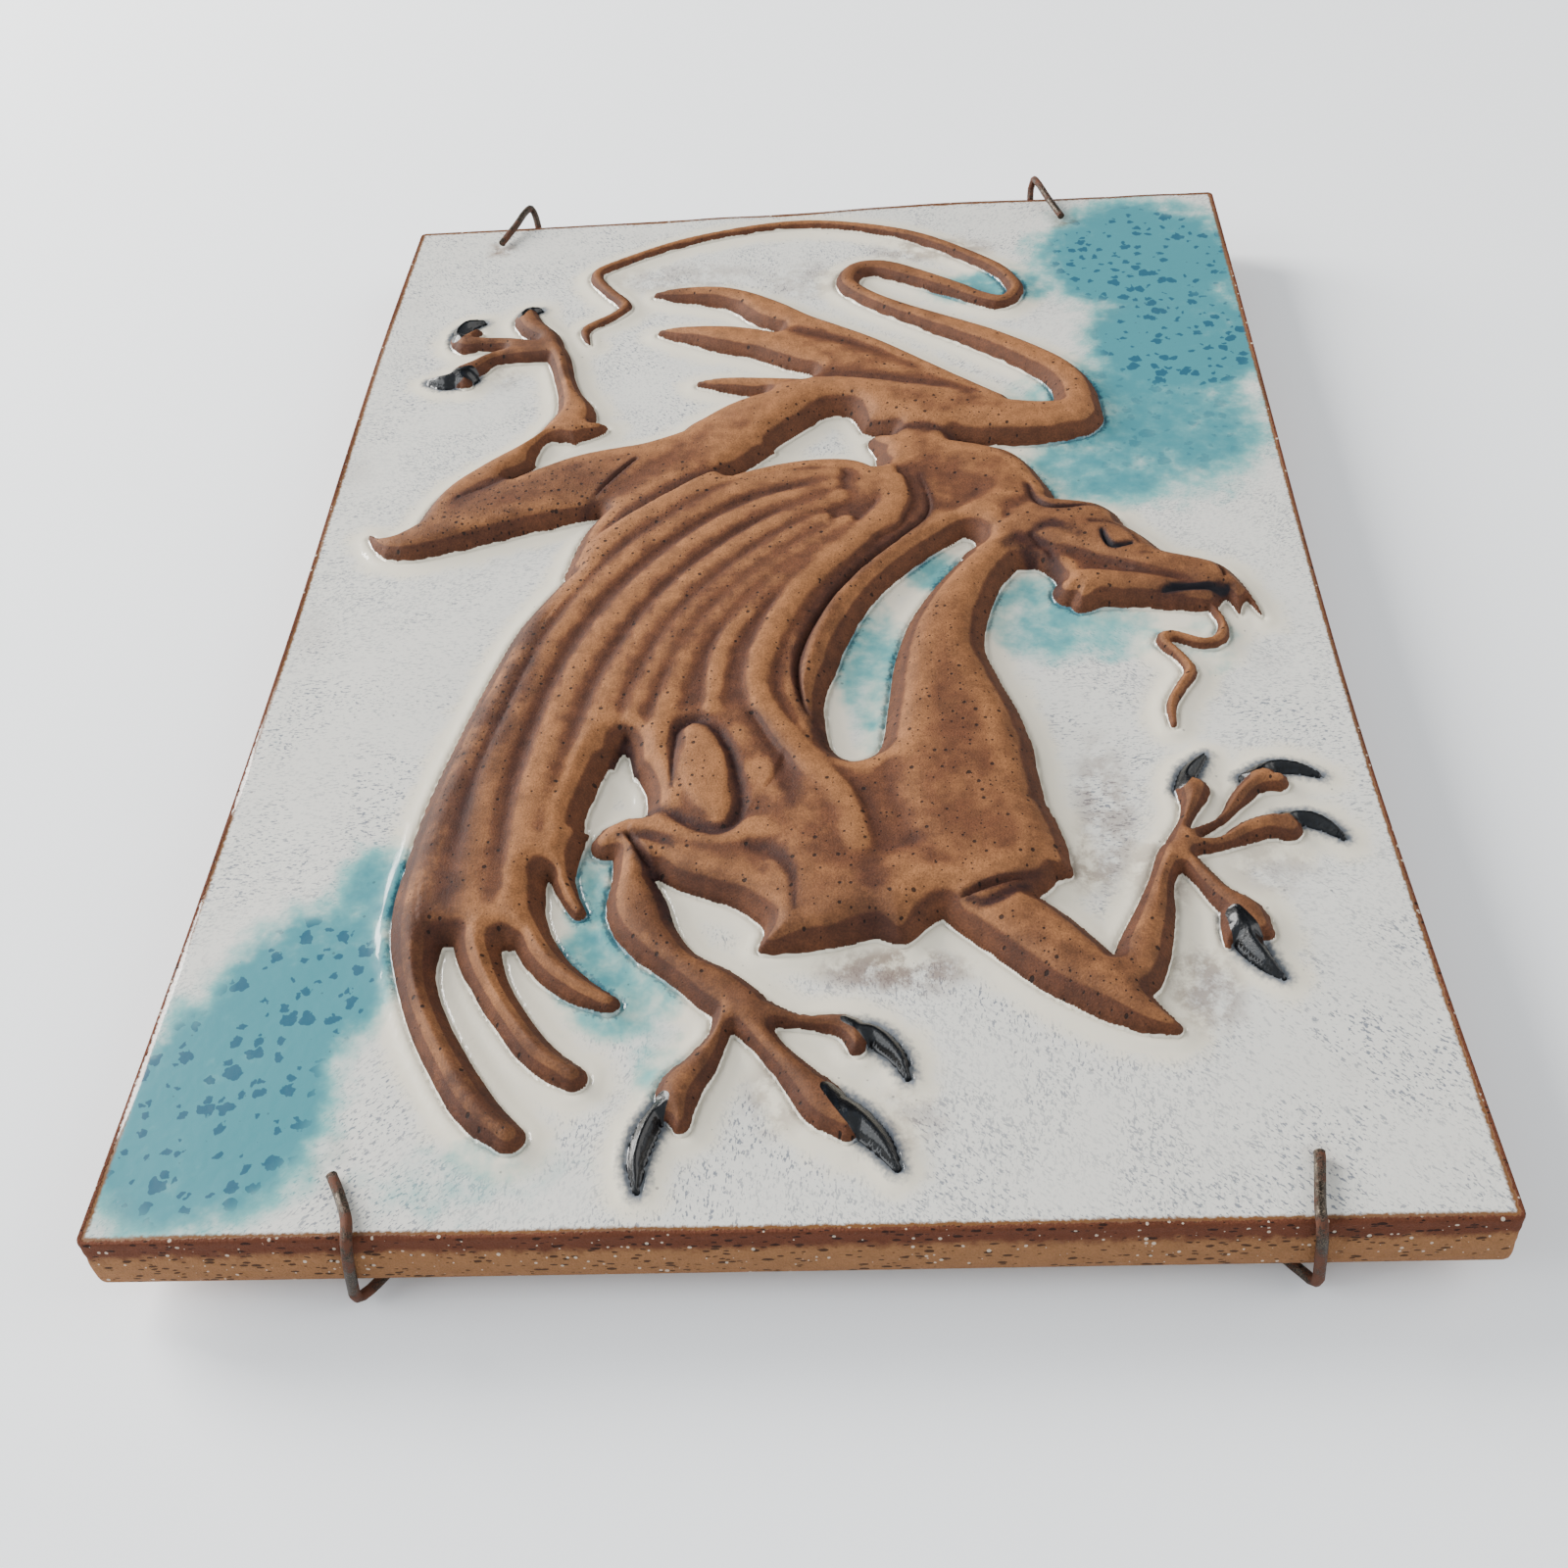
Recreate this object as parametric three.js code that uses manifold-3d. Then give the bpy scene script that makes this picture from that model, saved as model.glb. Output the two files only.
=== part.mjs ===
// Stoneware wall plaque with a dragon in relief, held at its four edges by a sprung wire plate hanger.
// The tile is modelled in its own frame: x to the right, y up from its bottom edge, z out of its face.
// The group at the end stands it up: +Z up, the face towards -Y, the origin where the nail bears.
import * as THREE from 'three';
import Module from 'manifold-3d';
import { mergeVertices } from 'three/addons/utils/BufferGeometryUtils.js';

const wasm = await Module();
wasm.setup();

// ---------------------------------------------------------------- driving sizes, millimetres
const TILE_WIDTH = 270;
const TILE_HEIGHT = 390;
const TILE_THICKNESS = 14;
const CORNER_RADIUS = 3;
// How far the hand-cut sides bow outwards, at even steps: right from the bottom up, top from the
// right, left from the top down.
const SIDE_BOW = {
  right: [0, -2.4, -3.8, -3.4, -2.2, -1, 0],
  top: [0, 0.6, 2.3, 0.4, 0, -0.2, 0],
  left: [0, 0.6, 0, -1.2, -1.6, -1.2, 0],
};
// Section through the slab's edge [inset, height]: a rounded back edge, an upright side and a small
// round at the face.
const EDGE_PROFILE = [[4.5, -TILE_THICKNESS], [1.4, -TILE_THICKNESS + 1.2], [0, -TILE_THICKNESS + 4.5],
  [0, -1.6], [0.5, -0.5], [1.8, 0]];
const CREASE_TOP = 12; // a crease is cut open up to here, above every form
const CREASE_FLARE = 2; // and is this much wider up there than its stated half width
const ROOT_DEPTH = 1.5; // how far each form of the relief is let into the slab
const WALL_SHARE = 0.5; // share of a form's height that is upright wall, under its rounded crown
// How each kind of form is drawn: the spacing of its sections, and where between its two walls
// its crown has a line of points, as shares of its half width.
const BROAD = { step: 9, crown: [0.66, 0, -0.66] };
const LONG = { step: 14, crown: [0.55, -0.55] };
const SMALL = { step: 6, crown: [0] };
const LEAST_HALF_WIDTH = 0.3; // of a form at its thinnest
// A form's rounded end in plan: how far it reaches past the last point, how wide it is there and how
// high, as shares of the form's half width, half width and height.
const ROUND_END = { reach: 0.85, width: 0.5, height: 0.85 };
const TOOL_DEPTH = 3; // the tools that cut hollows start this far below the face
const TOOL_TOP = 20; // and end this far above it

const WIRE_DIAMETER = 2.3;
const WIRE_SIDES = 6;
const WIRE_DEPTH = 19; // from the face back to the plane that both wires lie in
const NAIL_HEIGHT = 345; // the nail bears here, above the bottom edge
const NAIL_BEND = 5; // radius of the wire's centre line over the nail
const MIDDLE_BEND = 4; // and at the lower wire's middle
const MIDDLE_HEIGHT = 100;
const SPRING_X = 31; // the springs stand this far either side of the middle
const SPRING_RADIUS = 4.2;
const SPRING_SIDES = 10;
const SPRING_NECK = 1.9; // radius of the hook at each end of a spring
const NECK_LENGTH = 6; // length of that hook
const SHOULDER_LENGTH = 3; // and of the slope from it to the coil
const SPRING_BEND = 3; // radius of the wires' centre lines in the springs' hooks
const UPPER_BEND = 243; // height of the upper wire's two spring bends
const LOWER_BEND = 157; // and of the lower wire's
const BEND_SLANT = 0.25; // radians by which each bend stops short of a half turn
// The bow of an outer arm, from its hook to its spring bend: shares of the way across and of the way along.
const ARM_BOW = [[0.36, 0.16], [0.7, 0.42], [0.9, 0.7]];
const CLEARANCE = 0.4; // between pieces that touch

const CLAY = { color: 0x94674a, roughness: 0.75, metalness: 0 };
const STEEL = { color: 0x55504a, roughness: 0.45, metalness: 0.9 };

// ---------------------------------------------------------------- forms of the relief
// A form is a line of points [x, y, half width, height above the face].
const LIMBS = {
  haunch: [[-24, 252, 14, 6], [-12, 262, 13.5, 7.5], [6, 271, 9, 7.5], [26, 264, 12, 7.5],
    [46, 259, 11.5, 7], [64, 256, 10, 6.5], [76, 257, 8.5, 6]],
  thigh: [[-24, 250, 13, 6], [-42, 242, 12.5, 6], [-60, 235, 15, 6], [-80, 226, 12.2, 6],
    [-95, 217.5, 9.5, 6], [-108, 211, 6, 5], [-115, 212, 2.6, 4.5], [-119, 216, 0.9, 3.5]],
  flank: [[-20, 248, 9, 6], [-38, 231, 9, 6], [-51.5, 212, 7.6, 6], [-58, 195, 5, 6]],
  shin: [[-103, 216, 5, 5], [-97, 231, 6.2, 5.5], [-88.5, 241.5, 6.3, 5.5], [-80, 250.5, 5.8, 5],
    [-74.5, 257.5, 5.5, 4.8], [-70, 263, 7.2, 4.8], [-68, 271, 6.3, 4.8], [-70.7, 281, 4, 4.8],
    [-73.5, 291, 3.4, 4.8], [-76, 301, 3.8, 4.5], [-79, 308, 4, 4.2]],
  heel: [[-70, 260, 4, 4.5], [-62, 262.5, 3.2, 4.2], [-58.8, 263.5, 1.5, 4]],
  neck: [[60, 205, 7, 6.5], [47, 190, 7.4, 6.5], [39, 174, 9.2, 7], [35.3, 159, 11.2, 7.5],
    [35.8, 144, 14.2, 8], [37.5, 129, 17, 8.5], [39, 112, 17.5, 8.5], [42, 97, 16, 8.5],
    [49, 88, 10, 7.5]],
  shoulder: [[10, 126, 4, 6], [4, 136, 3.2, 6.5], [3.8, 148, 4, 7], [8, 162, 5, 7], [14, 177, 5.5, 7],
    [23, 190, 6, 7], [36, 200, 6.5, 7], [49, 209, 7.5, 7], [55, 222, 8, 6.5], [47, 234, 10, 6.5],
      [30, 241, 10, 6.5]],
  mane: [[54, 240, 3, 6.5], [60, 232, 3.4, 6.5], [64.5, 222, 3.6, 6.5], [66, 214, 3, 6.5]],
  belly: [[-2, 118, 9, 6.5], [2, 104, 12, 7.5], [6, 90, 14, 8], [14, 80, 12, 8], [28, 83, 9, 8],
    [42, 90, 11, 8]],
  chest: [[48, 100, 11, 7.5], [53, 91, 8, 7], [57.5, 86, 3, 6]],
  knee: [[-6, 97, 5, 7.5], [-18, 97, 4.4, 7.2], [-28, 100.5, 4.6, 6.8], [-37, 102, 5, 6],
    [-41.5, 97.5, 4.4, 5]],
  foreshin: [[-37, 97, 3.8, 5.5], [-35.6, 88, 4.6, 5.5], [-33.6, 78.5, 7, 5.5], [-30, 70.5, 6.2, 5.2],
    [-23, 62.5, 4.8, 4.8], [-15.5, 56.5, 5.8, 4.5], [-9.5, 51, 5.8, 4.3]],
  upper_arm: [[40, 78, 9, 6.5], [50, 69, 9.6, 6.5], [58, 60.5, 9, 6.3], [66, 52.5, 7, 6],
    [72, 46.8, 4.4, 5.2], [77.5, 43.5, 1.8, 4]],
  forearm: [[72, 56, 4.8, 5], [73.2, 62, 6, 5.2], [77, 73, 4.6, 5], [79.8, 83, 3, 4.5],
    [83.5, 90, 4, 4.3], [87, 92.5, 3.6, 4.2]],
  skull: [[62, 206, 9, 7.5], [74, 202, 10.2, 8.5], [82, 196.5, 9.5, 8.5], [90, 189, 7.4, 8],
    [98, 186, 6.6, 7.5], [105, 182.5, 6.2, 7], [109.5, 178, 3.4, 6]],
  jaw: [[69, 180, 5, 6.8], [79, 179.5, 5.5, 6.8], [90, 177.5, 4.5, 6.2], [101, 173, 2.2, 5.2]],
};
const TAIL = [[78, 258, 7.5, 6], [78, 272, 6.4, 5.2], [72.5, 284, 6.2, 4.6], [58.5, 298, 5.8, 4.4],
  [46.5, 307.5, 5.2, 4.2], [26, 322.8, 4, 3.9], [15.5, 333, 3.8, 3.8], [12.3, 339.5, 4, 3.7],
    [14.5, 346, 4.2, 3.7], [20, 347.8, 4.2, 3.7], [28, 344.8, 4.6, 3.7], [46, 332.2, 4, 3.5],
    [54, 325.8, 3.6, 3.4], [60.8, 323.3, 3.3, 3.4], [65, 329.3, 2.9, 3.3], [63.8, 336.2, 3, 3.2],
    [57.3, 346.8, 3.1, 3.1], [35, 366.7, 2.8, 3], [10, 377.4, 2.2, 2.8], [-12, 379.3, 2, 2.6],
    [-40.5, 372, 2.2, 2.6], [-63.8, 358.9, 2.2, 2.6], [-69.7, 352, 2.4, 2.6], [-65.2, 342.2, 2.4, 2.5],
    [-59.7, 334.8, 2.4, 2.5], [-58.6, 331, 2.3, 2.4], [-61.8, 326.3, 2, 2.3], [-69.5, 320, 1.9, 2.1],
    [-69.6, 315, 1.4, 1.8], [-68, 311, 0.7, 1.4]];
// The far wing's three fingers, behind the haunch.
const FAR_WING = [
  [[-47, 337, 2.7, 4.2], [-30, 334.3, 5, 5], [-20.5, 330, 5.6, 5], [-11, 321.5, 7, 5], [0, 313, 5.8, 5],
    [20, 300, 4.2, 5], [42, 279, 4.4, 5], [56, 266, 4.5, 5]],
  [[-43, 313.5, 3, 4.4], [-25, 308.5, 6.6, 5], [-14, 304.5, 7.2, 5], [-4, 299, 8, 5], [8, 293, 8.5, 5],
    [32, 280, 6, 5], [45, 270, 5, 5]],
  [[-29, 283.7, 2.8, 4.6], [-10, 280, 4.6, 5], [5, 277, 5, 5], [20, 272, 5, 5]],
];
// The near wing: four long fingers from the wrist to their free tips, then the folds between them and
// the body, and last the pad at the elbow.
const NEAR_WING = [
  [[-54, 21, 3.6, 4.5], [-62, 28.5, 4.6, 5], [-72.5, 45, 4.4, 5.5], [-79, 60, 4.4, 6],
    [-81.2, 76, 6.5, 6.5], [-81.2, 94, 6.3, 7], [-79, 118, 5.8, 7.5], [-70.6, 158, 5.8, 7.5],
    [-63.7, 178.5, 5.8, 7.5], [-47.5, 206, 5.5, 8], [-24.5, 227, 5.2, 8.5], [-11.5, 233.5, 5.2, 8.7],
    [2, 236, 5.6, 9], [14, 234.5, 6, 9], [21, 229, 5, 9]],
  [[-42.8, 34.8, 3.2, 4.5], [-50, 40, 3.8, 5], [-57, 49, 3.8, 5.5], [-63.2, 59, 4.2, 6],
    [-67.2, 69, 5.2, 6.3], [-69, 81, 5.5, 6.5], [-69.3, 113, 4.6, 7.5], [-66.7, 133, 4, 7.5],
    [-59.2, 166, 4, 7.5], [-43.6, 197, 4.5, 7.8], [-19.5, 221, 4.5, 8.3], [-5.5, 226.5, 4.5, 8.5],
    [8, 227.5, 4, 8.5]],
  [[-37.3, 53, 2.6, 4.4], [-44, 57, 3.6, 5], [-51, 63.5, 4.3, 5.5], [-56.5, 73, 4.6, 6],
    [-59, 84, 5, 6.5], [-59.2, 113, 4.7, 7.4], [-52.8, 152.5, 5, 7.5], [-38.6, 185, 5, 7.7],
    [-16.6, 210.5, 4.8, 8.2], [8, 222.5, 4, 8.4]],
  [[-46.2, 78, 1.8, 4.6], [-49.5, 84, 2.6, 5.4], [-51, 91.5, 3.2, 6], [-48.3, 113.5, 4.5, 7],
    [-43.8, 145.5, 5, 7.5], [-31.8, 177.2, 5, 7.6], [-11.8, 202.5, 4.6, 8], [10, 217.5, 4, 8.2]],
  [[-38.5, 128, 2.4, 6.5], [-36.8, 143, 4, 7.2], [-25.8, 172.3, 4.6, 7.5], [-6, 197.5, 4.5, 7.9],
    [6, 207.5, 4, 8]],
  [[-33, 112, 3.2, 6.5], [-32, 128, 3.8, 7], [-25, 160, 4, 7.3], [-9, 185.5, 4, 7.7], [12, 206, 4, 8]],
  [[-19.5, 137, 3.2, 7], [-17, 161, 3.6, 7.3], [-4, 183.5, 3.6, 7.5], [17, 204, 3.6, 7.6]],
  [[14, 92, 4, 8.6], [11, 106, 4, 8.4], [-4, 130, 3.8, 7.9], [-9, 150, 4, 7.6], [0, 180, 4, 7.8],
    [17, 203, 4, 8.2], [25, 215, 4.5, 8.6], [24, 224, 4.5, 9]],
  [[-22, 129, 5.2, 8], [-20.5, 117, 7, 8.4], [-18.8, 107, 5.6, 8.2], [-16.5, 102.5, 3.4, 7.6]],
];
const TOES = {
  hind: [
    [[-77, 305, 3, 4.2], [-81, 314, 4, 4.2], [-87, 321, 4.6, 4.2], [-89.5, 326.5, 4.4, 4],
      [-89, 331, 2, 3.6]],
    [[-79, 307.5, 3, 4], [-90, 311, 3.3, 4], [-100, 312.5, 3.2, 4], [-107, 313, 4.2, 4.2],
      [-110, 316, 3, 4]],
    [[-108, 314, 3, 4], [-104.5, 320, 1.8, 3.6]],
    [[-78, 305, 3.4, 4], [-88, 305.8, 4.2, 4], [-97, 304, 3.2, 4], [-102, 299, 4, 4],
      [-106, 295, 4.5, 4.2], [-104, 291, 2.4, 4]],
  ],
  left: [
    [[-13, 50, 3, 4], [-14.2, 44, 2.4, 4], [-17.5, 37, 3.8, 4.2], [-21.5, 30.5, 4.8, 4.5],
      [-20.3, 23, 2, 3.8]],
    [[-9, 49, 4.5, 4], [-3.5, 41, 3.2, 4], [2.5, 33.5, 4, 4.2], [7.5, 27, 5.2, 4.5], [12, 20.5, 2, 3.8]],
    [[-7, 50.5, 4, 4], [2, 47.5, 2, 4], [9, 46.7, 2.6, 4.2], [13, 45, 3.4, 4.2], [14, 40.5, 2, 3.8]],
  ],
  right: [
    [[84, 93, 2.6, 4], [87, 100, 1.8, 4], [89.2, 105.5, 3, 4.2], [89.8, 109, 4.2, 4.2]],
    [[87, 95, 2, 4], [94.5, 99.3, 1.4, 4], [99.3, 105.6, 2.4, 4], [104, 110.3, 3, 4.2],
      [108.8, 110.8, 3, 4.2]],
    [[86, 92, 3, 4], [94, 92.7, 2.2, 4], [100, 96, 3.2, 4.2], [106, 97.5, 3.8, 4.5],
      [108.7, 96.3, 3.6, 4.4]],
    [[85, 89, 3, 4], [88.3, 83.5, 2.9, 4], [91.7, 77.5, 3.3, 4.2], [96, 72.5, 4.4, 4.4],
      [99.2, 67.5, 2.2, 4]],
    [[92.5, 74, 2, 4], [91.3, 68.5, 1.5, 4], [91, 64.5, 1, 3.8]],
  ],
};
const CLAWS = [
  [[-91, 326, 1.2, 4.4], [-89.5, 331.5, 1.8, 4.2], [-86, 333, 0.8, 3]],
  [[-109.5, 315, 2.2, 4.8], [-110.5, 320, 2.3, 4.4], [-108, 325, 2.1, 4], [-103.5, 327, 0.8, 3.2]],
  [[-103, 294.5, 2.6, 5], [-110, 292.5, 2.8, 4.4], [-116, 293.5, 0.8, 3.2]],
  [[-24.5, 28, 1.8, 5], [-27, 22.5, 2.4, 4.4], [-28.5, 16, 2, 3.8], [-28, 9, 0.6, 2.6]],
  [[8.5, 29.5, 1.6, 5], [13.5, 24.5, 3, 4.8], [18.5, 18.5, 2.3, 4], [21.5, 13, 0.7, 2.6]],
  [[12, 46.3, 1.2, 4.8], [17.5, 43.8, 2.5, 4.6], [22, 38.8, 1.8, 3.8], [24, 33.5, 0.6, 2.6]],
  [[87.5, 110.5, 1.6, 4.8], [90, 115.5, 2, 4.2], [94, 120.5, 0.7, 3]],
  [[101.5, 113, 1, 4.6], [108, 116, 1.8, 4.4], [114, 115.6, 1.5, 4], [119, 113, 0.5, 2.8]],
  [[108, 100.5, 1.2, 4.8], [114, 99.7, 2, 4.2], [118, 97, 1.5, 3.8], [120.5, 93.8, 0.5, 2.8]],
  [[93, 71.5, 1.6, 4.8], [95.2, 65.5, 2.9, 4.4], [98, 60, 2, 3.8], [101, 56, 0.5, 2.6]],
];
const TONGUE = [[103, 173, 1.6, 4], [105, 166, 1.5, 3.8], [103.5, 160.5, 2.2, 3.6], [99.5, 159, 1.8, 3.5],
  [92, 162.3, 1.9, 3.5], [89.5, 160.5, 2, 3.4], [93, 154.5, 1.8, 3.2], [94.8, 149, 1.9, 3.2],
  [91.8, 143.5, 1.8, 3], [88.8, 137.5, 1.6, 2.8], [88.5, 131, 1, 2]];

// Flat-topped grounds that the forms rise from: [height, outline].
const GROUNDS = {
  near_membrane: [5.2, [[20, 222], [8, 232], [-10, 230], [-26, 222], [-42, 208], [-56, 188], [-66, 166],
    [-74, 142], [-79, 116], [-81, 92], [-80, 74], [-74, 69.5], [-67, 72], [-59.5, 68], [-56, 80],
    [-54, 88], [-50, 96], [-45, 110], [-40.5, 127.5], [-36, 114], [-28, 106], [-12, 104], [-2, 124],
    [-8, 142], [-7, 158], [0, 178], [10, 196], [20, 208]]],
  far_membrane: [4.2, [[-8, 315], [10, 308], [28, 292], [44, 276], [58, 262], [40, 260], [8, 272],
    [-8, 279], [2, 285.5], [-8, 293], [-8, 303]]],
  trunk: [6.2, [[14, 125], [24, 134], [40, 138], [54, 130], [56, 117], [56.5, 106], [59.5, 98],
    [60.8, 90], [60.8, 84], [52, 83], [40, 77], [31, 72.5], [24, 66.5], [17, 68.5], [8, 66],
    [-6.5, 65.5], [-6, 72], [-12, 78], [-20, 81.5], [-27, 85], [-33, 94], [-26, 101], [-8, 108],
    [2, 122]]],
  back: [5.8, [[18, 251], [34, 250], [50, 245.5], [60, 240], [66, 228], [67.5, 216], [58, 205],
    [44, 198.5], [28, 190], [15, 175], [8, 160], [4, 146], [-2, 152], [2, 172], [14, 194], [22, 210],
    [24, 232]]],
  head: [5, [[54, 218], [61, 219.5], [70, 218.7], [77, 217], [81, 215], [84.2, 211.5], [86, 206.2],
    [88.2, 201], [90.7, 197.8], [94.7, 194.5], [99, 192.8], [103.7, 190.9], [107.4, 188.9],
    [110.3, 186], [112.3, 181.5], [113.8, 177], [115, 172], [115.6, 167.8], [113.7, 171],
    [112.1, 174.5], [110.8, 172], [109.7, 168.8], [108.6, 172], [107, 175], [104, 171.5], [98, 171.5],
    [92, 173], [88, 175], [82, 175], [76, 174], [71, 172.3], [68.3, 175], [66.5, 181], [64.4, 187],
    [60.5, 190.5], [56, 190.5], [52, 190], [50, 195], [50, 207]]],
};
// Openings through the figure, down to the face.
const HOLLOWS = [
  [[45.4, 203.2], [43, 204.4], [38.9, 201.9], [35, 198.5], [31.1, 194.5], [27.2, 190], [22, 184],
    [18.2, 177.7], [15.6, 172.2], [13.1, 166.5], [10.9, 158.7], [9.1, 150.7], [7.8, 142.9],
    [7.2, 135.5], [7.4, 130], [8.8, 126.2], [11.2, 123], [13.7, 122], [16.7, 123], [19.5, 125.8],
    [20.9, 131.5], [21.6, 140], [22.5, 148.2], [23.6, 156.3], [25.3, 163.8], [27.6, 171.5], [30.4, 179],
    [34.3, 186.8], [38.6, 192.9], [42.5, 197.6], [45.6, 200.8]],
  [[-8, 248], [-6, 252], [1, 259], [6, 264], [12, 264], [15.5, 258], [17.5, 250], [16, 243], [4, 242.5]],
  [[-40.6, 130.8], [-43, 124.8], [-44.8, 119.2], [-46.2, 113], [-47.4, 107], [-47, 101.8], [-43.3, 103],
    [-38.2, 105.9], [-34.3, 106.3], [-34.2, 111], [-35.4, 115.3], [-37.4, 122], [-38.8, 128.8]],
  [[-76.5, 246.5], [-76.5, 253], [-74, 258], [-66, 256], [-70, 250]],
];
// Cuts in the figure's surface: [x, y, half width, depth left above the face].
const CREASES = {
  mouth: [[91, 176, 1.2, 3.6], [95.3, 176.5, 1.8, 3.4], [103.8, 176.3, 1.9, 3.4], [108.5, 177, 1.4, 3.6]],
  eye: [[78.3, 198, 1, 6.8], [78.8, 194.3, 1.2, 6.4], [80.5, 191.4, 1.4, 6.2], [85.1, 192.1, 1, 6.4]],
  brow: [[75.5, 202, 0.7, 7], [81.3, 201.2, 1, 6.8], [84.8, 198.5, 1, 6.6], [87.3, 192.5, 0.7, 6.6]],
  ear: [[61, 220, 0.8, 5.8], [62, 215, 1.1, 5.8], [65, 210.4, 1.4, 5.6], [70, 209.3, 1.4, 5.8],
    [76, 210.2, 1.1, 6.2], [81.5, 210, 0.7, 6.6]],
  jaw_fold: [[60, 199, 1, 5.8], [63.1, 195.3, 1.5, 5.2], [65.3, 190.3, 1.6, 4.8], [66.2, 184.4, 1, 5]],
  nostril: [[104.6, 188.6, 0.7, 6], [106.2, 184.6, 1.1, 5.6], [107.2, 179.8, 0.7, 5.2]],
  rump: [[18, 251, 1.2, 5], [34, 250.5, 1.5, 5], [47, 245, 1.5, 5], [58, 235, 1.2, 5]],
  thigh: [[-47, 241, 1, 5], [-54, 231, 1.3, 4.8], [-60.5, 219, 1, 5]],
  shin: [[-76, 243.5, 1.2, 4], [-85, 235.5, 1.4, 4.2], [-96, 227, 1, 5]],
  foreleg: [[-37, 98, 1, 4.6], [-31.5, 89, 1.8, 3.4], [-27, 81, 1.4, 3]],
  armpit: [[36.5, 76, 1.2, 5], [44, 79, 1.5, 5], [53, 82.5, 1.2, 4.6]],
  shoulder: [[32, 228, 1.4, 5.6], [34, 212, 2, 5], [26, 201, 2.2, 4.6], [14, 188, 2.2, 4.4],
    [5, 171, 2, 4.4], [0, 154, 1.8, 4.4], [2, 138, 1.6, 4.6], [8, 127, 1.2, 5]],
};

// ---------------------------------------------------------------- curves and solids
/** Smooth curve through points of any two of a form's columns. */
function columns(points, a, b) {
  const places = points.map((p) => new THREE.Vector3(p[a], p[b], 0));
  return new THREE.CatmullRomCurve3(places, false, 'catmullrom');
}

/** Samples [x, y, half width, height, normal x, normal y] along a form, about one every step. */
function sampleForm(points, step) {
  const place = columns(points, 0, 1);
  const size = columns(points, 2, 3);
  const spans = points.length - 1;
  const samples = [];
  for (let i = 0; i < spans; i++) {
    const length = Math.hypot(points[i + 1][0] - points[i][0], points[i + 1][1] - points[i][1]);
    const count = Math.max(1, Math.round(length / step));
    const last = i === spans - 1 ? count : count - 1;
    for (let k = 0; k <= last; k++) {
      const t = (i + k / count) / spans;
      const at = place.getPoint(t);
      const tangent = place.getTangent(t);
      const extent = size.getPoint(t);
      samples.push([at.x, at.y, Math.max(extent.x, LEAST_HALF_WIDTH), extent.y, -tangent.y, tangent.x]);
    }
  }
  return samples;
}

/** Rounds both ends of a sampled form in plan. */
function withRoundEnds(samples) {
  const cap = ([x, y, w, h, nx, ny], direction) => {
    const shift = direction * ROUND_END.reach * w;
    return [x + ny * shift, y - nx * shift, w * ROUND_END.width, h * ROUND_END.height, nx, ny];
  };
  return [cap(samples[0], -1), ...samples, cap(samples[samples.length - 1], 1)];
}

/** Closed mesh through rings of equal length, with its two ends fanned shut. */
function loft(rings) {
  const size = rings[0].length;
  const position = rings.flat(2);
  const index = [];
  for (let r = 0; r < rings.length - 1; r++) {
    for (let k = 0; k < size; k++) {
      const a = r * size + k;
      const b = r * size + ((k + 1) % size);
      index.push(a, b, b + size, a, b + size, a + size);
    }
  }
  const end = (rings.length - 1) * size;
  for (let k = 1; k < size - 1; k++) {
    index.push(0, k + 1, k, end, end + k, end + k + 1);
  }
  const geometry = new THREE.BufferGeometry();
  geometry.setAttribute('position', new THREE.Float32BufferAttribute(position, 3));
  geometry.setIndex(index);
  return geometry;
}

/** Raised form: upright walls under a rounded crown, lofted along its line. */
function raisedForm(points, kind) {
  const rings = withRoundEnds(sampleForm(points, kind.step)).map(([x, y, w, h, nx, ny]) => {
    const at = (share, z) => [x + nx * w * share, y + ny * w * share, z];
    const wall = h * WALL_SHARE;
    const crown = kind.crown.map((u) => at(u, wall + (h - wall) * Math.sqrt(1 - u * u)));
    return [at(1, -ROOT_DEPTH), at(1, wall), ...crown, at(-1, wall), at(-1, -ROOT_DEPTH)];
  });
  return solidOf(loft(rings));
}

/** Tool that carves a crease: a wedge whose foot line runs at the given heights. */
function creaseTool(points) {
  const rings = sampleForm(points, BROAD.step).map(([x, y, w, h, nx, ny]) => {
    const side = (open) => [x + nx * open, y + ny * open, CREASE_TOP];
    return [[x, y, h], side(w * CREASE_FLARE), side(-w * CREASE_FLARE)];
  });
  return solidOf(loft(rings));
}

/** Upright prism with the given outline, between two heights. */
function prism(outline, low, high) {
  const shape = new THREE.Shape(outline.map(([x, y]) => new THREE.Vector2(x, y)));
  const options = { depth: high - low, bevelEnabled: false };
  return solidOf(new THREE.ExtrudeGeometry(shape, options).translate(0, 0, low));
}

/** Turns a closed geometry into a solid that can be joined and cut. */
function solidOf(geometry) {
  geometry.deleteAttribute('normal');
  geometry.deleteAttribute('uv');
  const merged = mergeVertices(geometry, 1e-4);
  return new wasm.Manifold(new wasm.Mesh({
    numProp: 3,
    vertProperties: new Float32Array(merged.attributes.position.array),
    triVerts: new Uint32Array(merged.index.array),
  }));
}

/** Turns a solid back into a geometry. */
function geometryOf(solid) {
  const mesh = solid.getMesh();
  const geometry = new THREE.BufferGeometry();
  geometry.setAttribute('position', new THREE.BufferAttribute(mesh.vertProperties, 3));
  geometry.setIndex(new THREE.BufferAttribute(mesh.triVerts, 1));
  geometry.computeVertexNormals();
  return geometry;
}

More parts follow.
